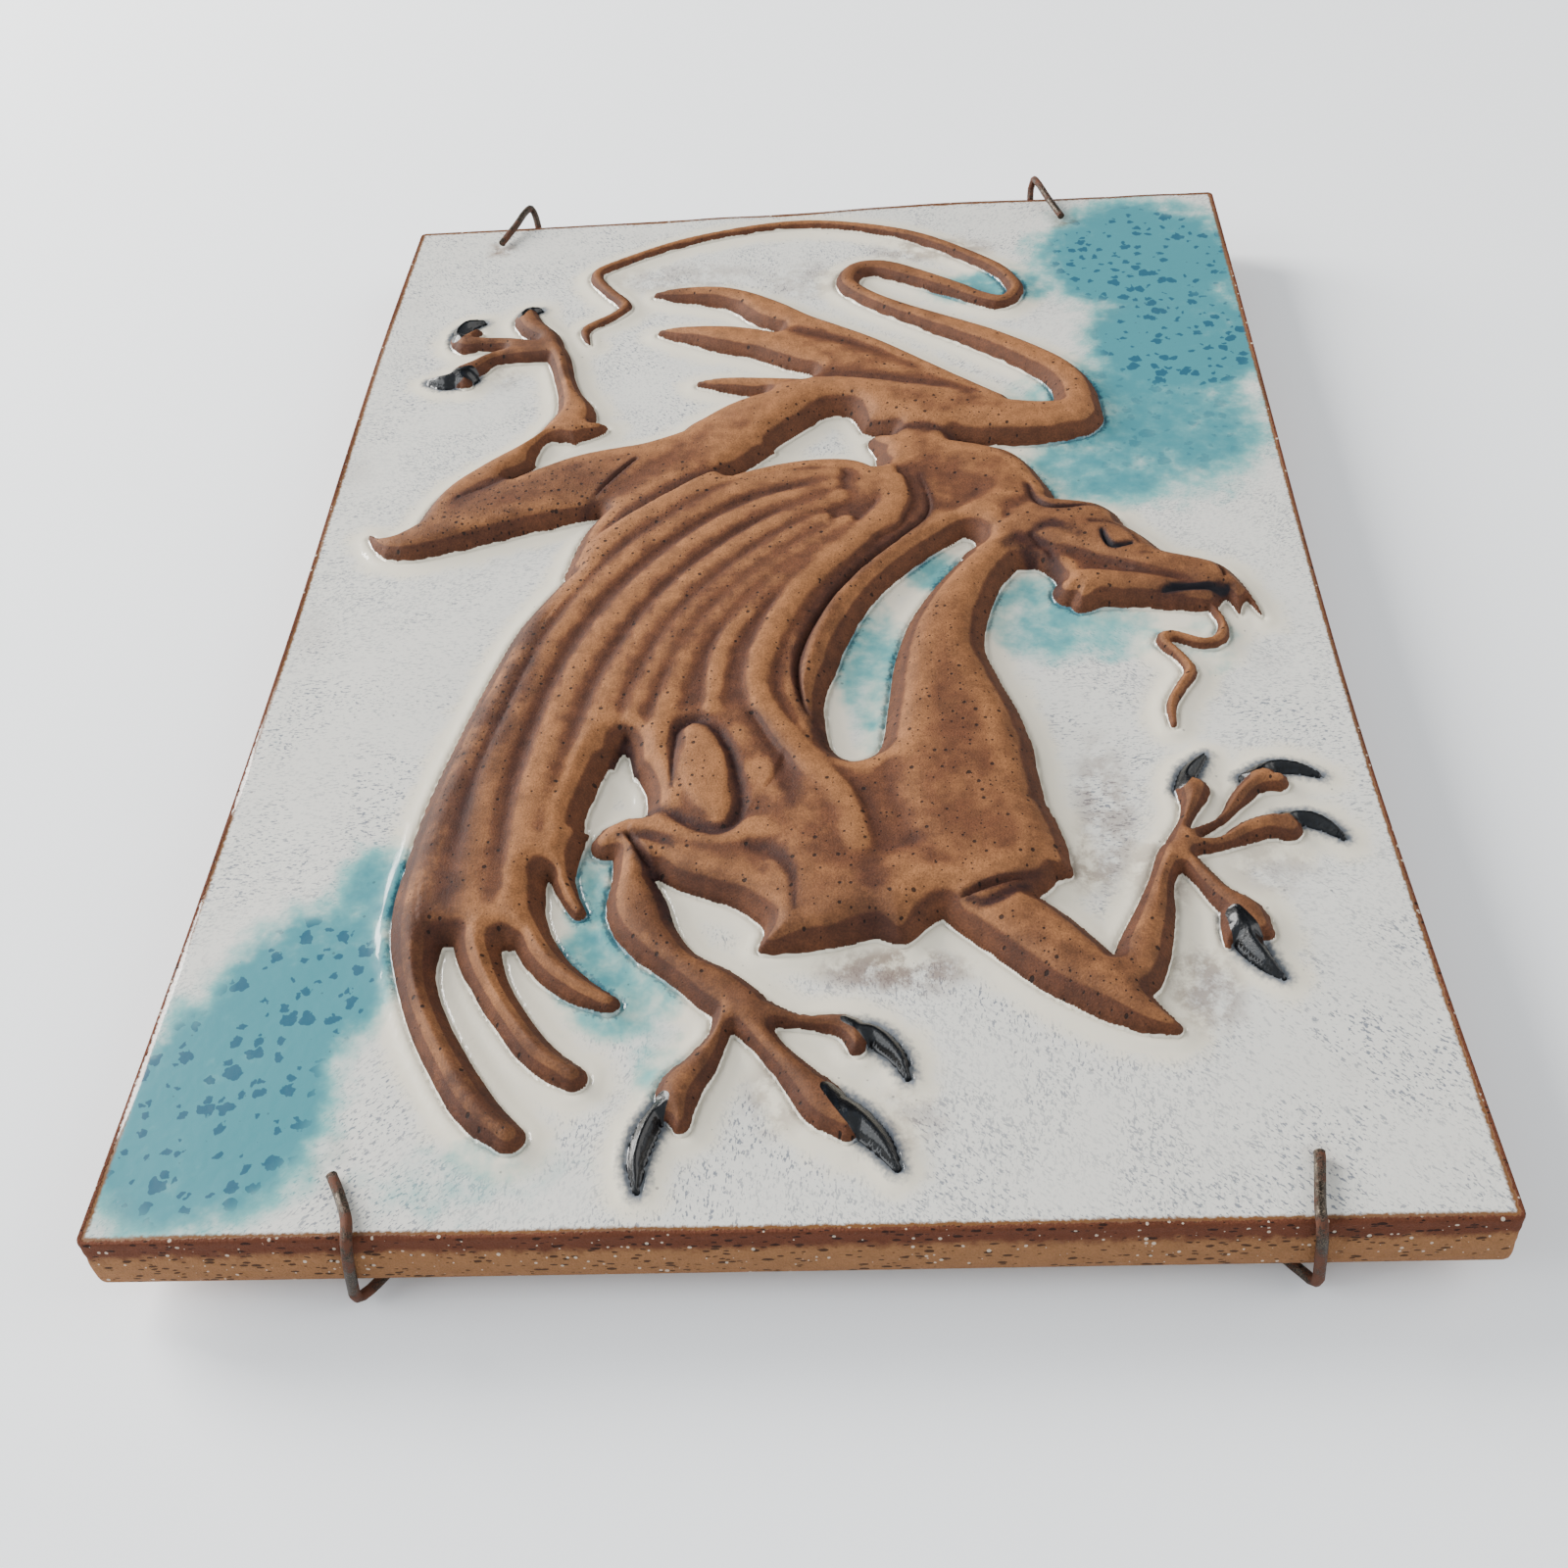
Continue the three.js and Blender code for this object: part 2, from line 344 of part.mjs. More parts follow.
// ---------------------------------------------------------------- the tile
/** Outline of the slab, drawn in by inset, with its hand-cut sides bowed. */
function slabOutline(inset) {
  const radius = CORNER_RADIUS;
  const halfWidth = TILE_WIDTH / 2 - inset;
  const low = inset;
  const high = TILE_HEIGHT - inset;
  const bowed = (offsets, t) => {
    const last = offsets.length - 1;
    return new THREE.SplineCurve(offsets.map((d, i) => new THREE.Vector2(i / last, d))).getPoint(t).y;
  };
  const points = [];
  const corner = (cx, cy, from) => {
    for (let k = 0; k <= 2; k++) {
      const angle = from + (k / 2) * (Math.PI / 2);
      points.push([cx + radius * Math.cos(angle), cy + radius * Math.sin(angle)]);
    }
  };
  const side = (count, place) => {
    for (let k = 1; k < count; k++) {
      points.push(place(k / count));
    }
  };
  corner(halfWidth - radius, low + radius, -Math.PI / 2);
  side(7, (t) => [halfWidth + bowed(SIDE_BOW.right, t), low + radius + t * (high - low - 2 * radius)]);
  corner(halfWidth - radius, high - radius, 0);
  side(6, (t) => [halfWidth - radius - 2 * t * (halfWidth - radius), high + bowed(SIDE_BOW.top, t)]);
  corner(-halfWidth + radius, high - radius, Math.PI / 2);
  side(7, (t) => [-halfWidth - bowed(SIDE_BOW.left, t), high - radius - t * (high - low - 2 * radius)]);
  corner(-halfWidth + radius, low + radius, Math.PI);
  return points;
}

/** The slab, lofted through its outline at each step of its edge's profile. */
function slab() {
  return solidOf(loft(EDGE_PROFILE.map(([inset, z]) => slabOutline(inset).map(([x, y]) => [x, y, z]))));
}

/** Slab and dragon as the one fired body that they are. */
function tile() {
  const raised = [
    ...Object.values(LIMBS).map((form) => raisedForm(form, BROAD)),
    ...[TAIL, ...FAR_WING, ...NEAR_WING].map((form) => raisedForm(form, LONG)),
    ...[...Object.values(TOES).flat(), ...CLAWS, TONGUE].map((form) => raisedForm(form, SMALL)),
    ...Object.values(GROUNDS).map(([height, outline]) => prism(outline, -ROOT_DEPTH, height)),
  ];
  let dragon = raised[0];
  for (const form of raised.slice(1)) {
    dragon = dragon.add(form);
  }
  for (const outline of HOLLOWS) {
    dragon = dragon.subtract(prism(outline, -TOOL_DEPTH, TOOL_TOP));
  }
  for (const crease of Object.values(CREASES)) {
    dragon = dragon.subtract(creaseTool(crease));
  }
  return geometryOf(slab().add(dragon));
}

// ---------------------------------------------------------------- the hanger
// Each hook's own route [x, y, z], from its free end on the face round the tile's edge to the wires' plane.
const HOOKS = {
  topLeft: [[-104.8, 376.9, 1.5], [-101, 386.5, 2.7], [-98.4, 394, 3.8], [-97, 397.6, 3], [-95.8, 396.8, 0],
    [-95, 394.2, -3.5], [-94.4, 393, -10], [-93.8, 391.8, -16.2], [-91.5, 386.5, -WIRE_DEPTH]],
  topRight: [[83.3, 375.5, 1.5], [79.6, 386.5, 2.7], [77, 395, 3.8], [75.8, 399, 3], [75, 398.6, 0],
    [74.6, 395.8, -3.5], [74.2, 394.4, -10], [73.8, 392.6, -16.2], [72, 386.5, -WIRE_DEPTH]],
  bottomLeft: [[-88.5, 18.1, 1.5], [-84.8, 10, 1.5], [-82.4, 3.2, 1.8], [-81.8, -0.9, 1.1], [-82.1, -2, -2],
    [-83.2, -2.1, -9], [-84.2, -2.1, -16], [-83.4, -0.8, -WIRE_DEPTH], [-79.5, 4, -WIRE_DEPTH]],
  bottomRight: [[100.2, 14.1, 1.5], [98.9, 7, 1.5], [98, 2, 1.8], [97.9, -1.1, 1], [98.2, -2, -2.5],
    [98.8, -2.1, -9], [99.4, -2.1, -16], [98.6, -0.6, -WIRE_DEPTH], [95, 3.5, -WIRE_DEPTH]],
};

/** Bend in the wires' plane, from its left side to its right, over the top (up = 1) or under (up = -1). */
function bend(x, y, radius, up) {
  return [0, 0.25, 0.5, 0.75, 1].map((t) => {
    const angle = Math.PI - up * (BEND_SLANT + t * (Math.PI - 2 * BEND_SLANT));
    return [x + radius * Math.cos(angle), y + radius * Math.sin(angle), -WIRE_DEPTH];
  });
}

/** Bowed arm from a hook's last point to beside a spring bend, both ends left out. */
function arm(hook, bendHeight) {
  const [x, y] = hook[hook.length - 1];
  const across = Math.sign(x) * (SPRING_X + SPRING_BEND) - x;
  const along = bendHeight - y;
  return ARM_BOW.map(([u, v]) => [x + across * u, y + along * v, -WIRE_DEPTH]);
}

/** Route of a whole wire from its left hook's free end to its right hook's. */
function wireRoute(left, right, bendHeight, middle, up) {
  const springBend = (x) => bend(x, bendHeight, SPRING_BEND, -up);
  return [
    ...left, ...arm(left, bendHeight),
    ...springBend(-SPRING_X), ...middle, ...springBend(SPRING_X),
    ...arm(right, bendHeight).reverse(), ...right.slice().reverse(),
  ];
}

/** Round wire along a route: one ring of points at each of its points, square to the route. */
function wire(route) {
  const places = route.map((p) => new THREE.Vector3(...p));
  const rings = [];
  let side = new THREE.Vector3(1, 0, 0);
  places.forEach((place, i) => {
    const before = places[Math.max(i - 1, 0)];
    const after = places[Math.min(i + 1, places.length - 1)];
    const along = after.clone().sub(before).normalize();
    side = side.clone().addScaledVector(along, -side.dot(along)).normalize();
    const other = along.clone().cross(side);
    const ring = [];
    for (let k = 0; k < WIRE_SIDES; k++) {
      const angle = (k / WIRE_SIDES) * 2 * Math.PI;
      ring.push(place.clone().addScaledVector(side, (WIRE_DIAMETER / 2) * Math.cos(angle))
        .addScaledVector(other, (WIRE_DIAMETER / 2) * Math.sin(angle)).toArray());
    }
    rings.push(ring);
  });
  return loft(rings);
}

/** Outer shape of a closed-wound tension spring, standing between the two wires' bends. */
function spring(x) {
  const reach = SPRING_BEND + WIRE_DIAMETER / 2 + CLEARANCE;
  const low = LOWER_BEND + reach;
  const high = UPPER_BEND - reach;
  const coil = NECK_LENGTH + SHOULDER_LENGTH;
  const profile = [
    [0, low], [SPRING_NECK, low], [SPRING_NECK, low + NECK_LENGTH], [SPRING_RADIUS, low + coil],
    [SPRING_RADIUS, high - coil], [SPRING_NECK, high - NECK_LENGTH], [SPRING_NECK, high], [0, high],
  ];
  const geometry = new THREE.LatheGeometry(profile.map(([r, y]) => new THREE.Vector2(r, y)), SPRING_SIDES);
  return geometry.translate(x, 0, -WIRE_DEPTH);
}

// ---------------------------------------------------------------- the plaque
function named(name, geometry, finish) {
  const mesh = new THREE.Mesh(geometry, new THREE.MeshStandardMaterial(finish));
  mesh.name = name;
  return mesh;
}

const nailBend = bend(0, NAIL_HEIGHT + WIRE_DIAMETER / 2 - NAIL_BEND, NAIL_BEND, 1);
const middleBend = bend(0, MIDDLE_HEIGHT, MIDDLE_BEND, -1);
const upperRoute = wireRoute(HOOKS.topLeft, HOOKS.topRight, UPPER_BEND, nailBend, 1);
const lowerRoute = wireRoute(HOOKS.bottomLeft, HOOKS.bottomRight, LOWER_BEND, middleBend, -1);

const plaque = new THREE.Group();
plaque.add(named('tile', tile(), CLAY));
plaque.add(named('upper_wire', wire(upperRoute), STEEL));
plaque.add(named('lower_wire', wire(lowerRoute), STEEL));
plaque.add(named('spring_left', spring(-SPRING_X), STEEL));
plaque.add(named('spring_right', spring(SPRING_X), STEEL));
plaque.rotation.x = Math.PI / 2;
plaque.position.set(0, -WIRE_DEPTH, -NAIL_HEIGHT);

const root = new THREE.Group();
root.add(plaque);
export default root;
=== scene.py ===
"""Decorative wall plaque: a glazed stoneware tile with a dragon in relief, in a sprung wire hanger.

The tile is laid out in its own frame in millimetres: x to the right, y up from its bottom edge and z
out of its face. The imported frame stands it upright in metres, with the nail that holds it at the origin.
"""
from __future__ import annotations

import logging
import math
from dataclasses import dataclass, field
from enum import Enum

import bpy
import numpy as np
from mathutils import Matrix, Vector

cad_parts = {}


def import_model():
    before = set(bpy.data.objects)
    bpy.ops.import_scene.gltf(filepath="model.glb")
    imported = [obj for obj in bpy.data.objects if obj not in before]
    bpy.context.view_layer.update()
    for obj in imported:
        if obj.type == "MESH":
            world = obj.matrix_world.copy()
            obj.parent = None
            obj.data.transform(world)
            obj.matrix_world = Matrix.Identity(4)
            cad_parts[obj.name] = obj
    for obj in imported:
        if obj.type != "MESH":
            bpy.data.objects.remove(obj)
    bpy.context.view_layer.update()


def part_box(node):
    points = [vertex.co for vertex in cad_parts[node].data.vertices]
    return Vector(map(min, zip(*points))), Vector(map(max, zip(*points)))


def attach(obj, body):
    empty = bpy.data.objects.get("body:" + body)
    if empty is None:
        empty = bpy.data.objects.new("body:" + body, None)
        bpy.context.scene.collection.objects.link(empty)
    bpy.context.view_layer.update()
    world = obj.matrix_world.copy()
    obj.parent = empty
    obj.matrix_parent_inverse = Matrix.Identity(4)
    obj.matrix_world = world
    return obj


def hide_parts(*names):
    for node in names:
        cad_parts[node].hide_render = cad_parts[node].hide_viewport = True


LOG = logging.getLogger("plaque")

# ---------------------------------------------------------------- sizes, millimetres
TILE_WIDTH = 270.0
TILE_HEIGHT = 390.0
WIRE_DEPTH = 19.0
NAIL_HEIGHT = 345.0
# The hanger's spring bends: their distance from the middle, and their heights on either wire.
SPRING_X = 31.0
UPPER_BENDS = 243.0
LOWER_BENDS = 157.0
# Centre height and radius of each wire's middle bend.
NAIL_BEND = (341.15, 5.0)
LOWER_BEND = (100.0, 4.0)
MILLIMETRE = 0.001


class Slot(Enum):
    """Three material slot names; no piece in this script reads them."""

    STONEWARE = "stoneware"
    WIRE = "wire_steel"
    SPRING = "spring_steel"


def to_row(x: np.ndarray, y: np.ndarray, z: np.ndarray) -> np.ndarray:
    """Turn places in the tile's frame into places in the row's frame, in metres."""
    return np.stack([x, -z - WIRE_DEPTH, y - NAIL_HEIGHT], axis=-1) * MILLIMETRE


# ---------------------------------------------------------------- forms of the relief
# A form is a line of points [x, y, half width, height above the face].
LIMBS = {
  "haunch": [[-24, 252, 14, 6], [-12, 262, 13.5, 7.5], [6, 271, 9, 7.5], [26, 264, 12, 7.5],
    [46, 259, 11.5, 7], [64, 256, 10, 6.5], [76, 257, 8.5, 6]],
  "thigh": [[-24, 250, 13, 6], [-42, 242, 12.5, 6], [-60, 235, 15, 6], [-80, 226, 12.2, 6],
    [-95, 217.5, 9.5, 6], [-108, 211, 6, 5], [-115, 212, 2.6, 4.5], [-119, 216, 0.9, 3.5]],
  "flank": [[-20, 248, 9, 6], [-38, 231, 9, 6], [-51.5, 212, 7.6, 6], [-58, 195, 5, 6]],
  "shin": [[-103, 216, 5, 5], [-97, 231, 6.2, 5.5], [-88.5, 241.5, 6.3, 5.5], [-80, 250.5, 5.8, 5],
    [-74.5, 257.5, 5.5, 4.8], [-70, 263, 7.2, 4.8], [-68, 271, 6.3, 4.8], [-70.7, 281, 4, 4.8],
    [-73.5, 291, 3.4, 4.8], [-76, 301, 3.8, 4.5], [-79, 308, 4, 4.2]],
  "heel": [[-70, 260, 4, 4.5], [-62, 262.5, 3.2, 4.2], [-58.8, 263.5, 1.5, 4]],
  "neck": [[60, 205, 7, 6.5], [47, 190, 7.4, 6.5], [39, 174, 9.2, 7], [35.3, 159, 11.2, 7.5],
    [35.8, 144, 14.2, 8], [37.5, 129, 17, 8.5], [39, 112, 17.5, 8.5], [42, 97, 16, 8.5],
    [49, 88, 10, 7.5]],
  "shoulder": [[10, 126, 4, 6], [4, 136, 3.2, 6.5], [3.8, 148, 4, 7], [8, 162, 5, 7], [14, 177, 5.5, 7],
    [23, 190, 6, 7], [36, 200, 6.5, 7], [49, 209, 7.5, 7], [55, 222, 8, 6.5], [47, 234, 10, 6.5],
      [30, 241, 10, 6.5]],
  "mane": [[54, 240, 3, 6.5], [60, 232, 3.4, 6.5], [64.5, 222, 3.6, 6.5], [66, 214, 3, 6.5]],
  "belly": [[-2, 118, 9, 6.5], [2, 104, 12, 7.5], [6, 90, 14, 8], [14, 80, 12, 8], [28, 83, 9, 8],
    [42, 90, 11, 8]],
  "chest": [[48, 100, 11, 7.5], [53, 91, 8, 7], [57.5, 86, 3, 6]],
  "knee": [[-6, 97, 5, 7.5], [-18, 97, 4.4, 7.2], [-28, 100.5, 4.6, 6.8], [-37, 102, 5, 6],
    [-41.5, 97.5, 4.4, 5]],
  "foreshin": [[-37, 97, 3.8, 5.5], [-35.6, 88, 4.6, 5.5], [-33.6, 78.5, 7, 5.5], [-30, 70.5, 6.2, 5.2],
    [-23, 62.5, 4.8, 4.8], [-15.5, 56.5, 5.8, 4.5], [-9.5, 51, 5.8, 4.3]],
  "upper_arm": [[40, 78, 9, 6.5], [50, 69, 9.6, 6.5], [58, 60.5, 9, 6.3], [66, 52.5, 7, 6],
    [72, 46.8, 4.4, 5.2], [77.5, 43.5, 1.8, 4]],
  "forearm": [[72, 56, 4.8, 5], [73.2, 62, 6, 5.2], [77, 73, 4.6, 5], [79.8, 83, 3, 4.5],
    [83.5, 90, 4, 4.3], [87, 92.5, 3.6, 4.2]],
  "skull": [[62, 206, 9, 7.5], [74, 202, 10.2, 8.5], [82, 196.5, 9.5, 8.5], [90, 189, 7.4, 8],
    [98, 186, 6.6, 7.5], [105, 182.5, 6.2, 7], [109.5, 178, 3.4, 6]],
  "jaw": [[69, 180, 5, 6.8], [79, 179.5, 5.5, 6.8], [90, 177.5, 4.5, 6.2], [101, 173, 2.2, 5.2]],
}
TAIL = [[78, 258, 7.5, 6], [78, 272, 6.4, 5.2], [72.5, 284, 6.2, 4.6], [58.5, 298, 5.8, 4.4],
    [46.5, 307.5, 5.2, 4.2], [26, 322.8, 4, 3.9], [15.5, 333, 3.8, 3.8], [12.3, 339.5, 4, 3.7],
    [14.5, 346, 4.2, 3.7], [20, 347.8, 4.2, 3.7], [28, 344.8, 4.6, 3.7], [46, 332.2, 4, 3.5],
    [54, 325.8, 3.6, 3.4], [60.8, 323.3, 3.3, 3.4], [65, 329.3, 2.9, 3.3], [63.8, 336.2, 3, 3.2],
    [57.3, 346.8, 3.1, 3.1], [35, 366.7, 2.8, 3], [10, 377.4, 2.2, 2.8], [-12, 379.3, 2, 2.6],
    [-40.5, 372, 2.2, 2.6], [-63.8, 358.9, 2.2, 2.6], [-69.7, 352, 2.4, 2.6], [-65.2, 342.2, 2.4, 2.5],
    [-59.7, 334.8, 2.4, 2.5], [-58.6, 331, 2.3, 2.4], [-61.8, 326.3, 2, 2.3], [-69.5, 320, 1.9, 2.1],
    [-69.6, 315, 1.4, 1.8], [-68, 311, 0.7, 1.4]]
# The far wing's three fingers, behind the haunch.
FAR_WING = [
  [[-49, 337.4, 1.2, 3.6], [-42, 336.4, 3.1, 4.4], [-30, 334.3, 5, 5], [-20.5, 330, 5.6, 5],
    [-11, 321.5, 7, 5], [0, 313, 5.8, 5],
    [20, 300, 4.2, 5], [42, 279, 4.4, 5], [56, 266, 4.5, 5]],
  [[-46, 314.4, 1.2, 3.8], [-37, 312, 4, 4.6], [-25, 308.5, 6.6, 5], [-14, 304.5, 7.2, 5],
    [-4, 299, 8, 5], [8, 293, 8.5, 5],
    [32, 280, 6, 5], [45, 270, 5, 5]],
  [[-32, 284.6, 1.2, 3.8], [-23, 282.8, 3.3, 4.6], [-10, 280, 4.6, 5], [5, 277, 5, 5], [20, 272, 5, 5]],
]
# The near wing: four long fingers from the wrist to their free tips, then the folds between them and
# the body, and last the pad at the elbow.
NEAR_WING = [
  [[-54, 21, 3.6, 4.5], [-62, 28.5, 4.6, 5], [-72.5, 45, 4.4, 5.5], [-79, 60, 4.4, 6],
    [-81.2, 76, 6.5, 6.5], [-81.2, 94, 6.3, 7], [-79, 118, 5.8, 7.5], [-70.6, 158, 5.8, 7.5],
    [-63.7, 178.5, 5.8, 7.5], [-47.5, 206, 5.5, 8], [-24.5, 227, 5.2, 8.5], [-11.5, 233.5, 5.2, 8.7],
    [2, 236, 5.6, 9], [14, 234.5, 6, 9], [21, 229, 5, 9]],
  [[-42.8, 34.8, 3.2, 4.5], [-50, 40, 3.8, 5], [-57, 49, 3.8, 5.5], [-63.2, 59, 4.2, 6],
    [-67.2, 69, 5.2, 6.3], [-69, 81, 5.5, 6.5], [-69.3, 113, 4.6, 7.5], [-66.7, 133, 4, 7.5],
    [-59.2, 166, 4, 7.5], [-43.6, 197, 4.5, 7.8], [-19.5, 221, 4.5, 8.3], [-5.5, 226.5, 4.5, 8.5],
    [8, 227.5, 4, 8.5]],
  [[-37.3, 53, 2.6, 4.4], [-44, 57, 3.6, 5], [-51, 63.5, 4.3, 5.5], [-56.5, 73, 4.6, 6],
    [-59, 84, 5, 6.5], [-59.2, 113, 4.7, 7.4], [-52.8, 152.5, 5, 7.5], [-38.6, 185, 5, 7.7],
    [-16.6, 210.5, 4.8, 8.2], [8, 222.5, 4, 8.4]],
  [[-46.2, 78, 1.8, 4.6], [-49.5, 84, 2.6, 5.4], [-51, 91.5, 3.2, 6], [-48.3, 113.5, 4.5, 7],
    [-43.8, 145.5, 5, 7.5], [-31.8, 177.2, 5, 7.6], [-11.8, 202.5, 4.6, 8], [10, 217.5, 4, 8.2]],
  [[-38.5, 128, 2.4, 6.5], [-36.8, 143, 4, 7.2], [-25.8, 172.3, 4.6, 7.5], [-6, 197.5, 4.5, 7.9],
    [6, 207.5, 4, 8]],
  [[-33, 112, 3.2, 6.5], [-32, 128, 3.8, 7], [-25, 160, 4, 7.3], [-9, 185.5, 4, 7.7], [12, 206, 4, 8]],
  [[-19.5, 137, 3.2, 7], [-17, 161, 3.6, 7.3], [-4, 183.5, 3.6, 7.5], [17, 204, 3.6, 7.6]],
  [[14, 92, 4, 8.6], [11, 106, 4, 8.4], [-4, 130, 3.8, 7.9], [-9, 150, 4, 7.6], [0, 180, 4, 7.8],
    [17, 203, 4, 8.2], [25, 215, 4.5, 8.6], [24, 224, 4.5, 9]],
  [[-22, 129, 5.2, 8], [-20.5, 117, 7, 8.4], [-18.8, 107, 5.6, 8.2], [-16.5, 102.5, 3.4, 7.6]],
]
TOES = {
  "hind": [
    [[-77, 305, 3, 4.2], [-81, 314, 4, 4.2], [-87, 321, 4.6, 4.2], [-89.5, 326.5, 4.4, 4],
      [-89, 331, 2, 3.6]],
    [[-79, 307.5, 3, 4], [-90, 311, 3.3, 4], [-100, 312.5, 3.2, 4], [-107, 313, 4.2, 4.2],
      [-110, 316, 3, 4]],
    [[-108, 314, 3, 4], [-104.5, 320, 1.8, 3.6]],
    [[-78, 305, 3.4, 4], [-88, 305.8, 4.2, 4], [-97, 304, 3.2, 4], [-102, 299, 4, 4],
      [-106, 295, 4.5, 4.2], [-104, 291, 2.4, 4]],
  ],
  "left": [
    [[-13, 50, 3, 4], [-14.2, 44, 2.4, 4], [-17.5, 37, 3.8, 4.2], [-21.5, 30.5, 4.8, 4.5],
      [-20.3, 23, 2, 3.8]],
    [[-9, 49, 4.5, 4], [-3.5, 41, 3.2, 4], [2.5, 33.5, 4, 4.2], [7.5, 27, 5.2, 4.5], [12, 20.5, 2, 3.8]],
    [[-7, 50.5, 4, 4], [2, 47.5, 2, 4], [9, 46.7, 2.6, 4.2], [13, 45, 3.4, 4.2], [14, 40.5, 2, 3.8]],
  ],
  "right": [
    [[84, 93, 2.6, 4], [87, 100, 1.8, 4], [89.2, 105.5, 3, 4.2], [89.8, 109, 4.2, 4.2]],
    [[87, 95, 2, 4], [94.5, 99.3, 1.4, 4], [99.3, 105.6, 2.4, 4], [104, 110.3, 3, 4.2],
      [108.8, 110.8, 3, 4.2]],
    [[86, 92, 3, 4], [94, 92.7, 2.2, 4], [100, 96, 3.2, 4.2], [106, 97.5, 3.8, 4.5],
      [108.7, 96.3, 3.6, 4.4]],
    [[85, 89, 3, 4], [88.3, 83.5, 2.9, 4], [91.7, 77.5, 3.3, 4.2], [96, 72.5, 4.4, 4.4],
      [99.2, 67.5, 2.2, 4]],
    [[92.5, 74, 2, 4], [91.3, 68.5, 1.5, 4], [91, 64.5, 1, 3.8]],
  ],
}
CLAWS = [
  [[-91, 326, 1.2, 4.4], [-89.5, 331.5, 1.8, 4.2], [-86, 333, 0.8, 3]],
  [[-109.5, 315, 2.2, 4.8], [-110.5, 320, 2.3, 4.4], [-108, 325, 2.1, 4], [-103.5, 327, 0.8, 3.2]],
  [[-103, 294.5, 2.6, 5], [-110, 292.5, 2.8, 4.4], [-116, 293.5, 0.8, 3.2]],
  [[-24.5, 28, 1.8, 5], [-27, 22.5, 2.4, 4.4], [-28.5, 16, 2, 3.8], [-28, 9, 0.6, 2.6]],
  [[8.5, 29.5, 1.6, 5], [13.5, 24.5, 3, 4.8], [18.5, 18.5, 2.3, 4], [21.5, 13, 0.7, 2.6]],
  [[12, 46.3, 1.2, 4.8], [17.5, 43.8, 2.5, 4.6], [22, 38.8, 1.8, 3.8], [24, 33.5, 0.6, 2.6]],
  [[87.5, 110.5, 1.6, 4.8], [90, 115.5, 2, 4.2], [94, 120.5, 0.7, 3]],
  [[101.5, 113, 1, 4.6], [108, 116, 1.8, 4.4], [114, 115.6, 1.5, 4], [119, 113, 0.5, 2.8]],
  [[108, 100.5, 1.2, 4.8], [114, 99.7, 2, 4.2], [118, 97, 1.5, 3.8], [120.5, 93.8, 0.5, 2.8]],
  [[93, 71.5, 1.6, 4.8], [95.2, 65.5, 2.9, 4.4], [98, 60, 2, 3.8], [101, 56, 0.5, 2.6]],
]
TONGUE = [[103, 173, 1.6, 4], [105, 166, 1.5, 3.8], [103.5, 160.5, 2.2, 3.6], [99.5, 159, 1.8, 3.5],
  [92, 162.3, 1.9, 3.5], [89.5, 160.5, 2, 3.4], [93, 154.5, 1.8, 3.2], [94.8, 149, 1.9, 3.2],
  [91.8, 143.5, 1.8, 3], [88.8, 137.5, 1.6, 2.8], [88.5, 131, 1, 2]]

# Flat-topped grounds that the forms rise from: [height, outline].
GROUNDS = {
  "near_membrane": [6.5, [[27, 228], [8, 232], [-10, 230], [-26, 222], [-42, 208], [-56, 188], [-66, 166],
    [-74, 142], [-79, 116], [-81, 92], [-80, 74], [-74, 69.5], [-67, 72], [-59.5, 68], [-56, 80],
    [-54, 88], [-50, 96], [-45, 110], [-40.5, 127.5], [-35, 106], [-29, 101], [-12, 100], [-2, 124],
    [-8, 142], [-7, 158], [0, 178], [10, 196], [26, 206]]],
  "far_membrane": [4.2, [[-8, 315], [10, 308], [28, 292], [44, 276], [58, 262], [40, 260], [8, 272],
    [-8, 279], [2, 285.5], [-8, 293], [-8, 303]]],
  "trunk": [6.2, [[14, 125], [24, 134], [40, 138], [54, 130], [56, 117], [56.5, 106], [59.5, 98],
    [60.8, 90], [60.8, 84], [52, 83], [40, 77], [31, 72.5], [24, 66.5], [17, 68.5], [8, 66],
    [-6.5, 65.5], [-6, 72], [-12, 78], [-20, 81.5], [-27, 85], [-38, 94], [-32, 103], [-8, 108],
    [2, 122]]],
  "back": [5.8, [[18, 251], [34, 250], [50, 245.5], [60, 240], [66, 228], [67.5, 216], [58, 205],
    [44, 198.5], [28, 190], [15, 175], [9.5, 160], [7, 148], [6.5, 136], [8, 124], [2, 118], [-6, 132],
    [-10, 146], [-8, 172], [6, 194], [18, 212], [24, 232]]],
  "head": [5, [[54, 218], [61, 219.5], [70, 218.7], [77, 217], [81, 215], [84.2, 211.5], [86, 206.2],
    [88.2, 201], [90.7, 197.8], [94.7, 194.5], [99, 192.8], [103.7, 190.9], [107.4, 188.9],
    [110.3, 186], [112.3, 181.5], [113.8, 177], [115, 172], [115.6, 167.8], [113.7, 171],
    [112.1, 174.5], [110.8, 172], [109.7, 168.8], [108.6, 172], [107, 175], [104, 171.5], [98, 171.5],
    [92, 173], [88, 175], [82, 175], [76, 174], [71, 172.3], [68.3, 175], [66.5, 181], [64.4, 187],
    [60.5, 190.5], [56, 190.5], [52, 190], [50, 195], [50, 207]]],
}
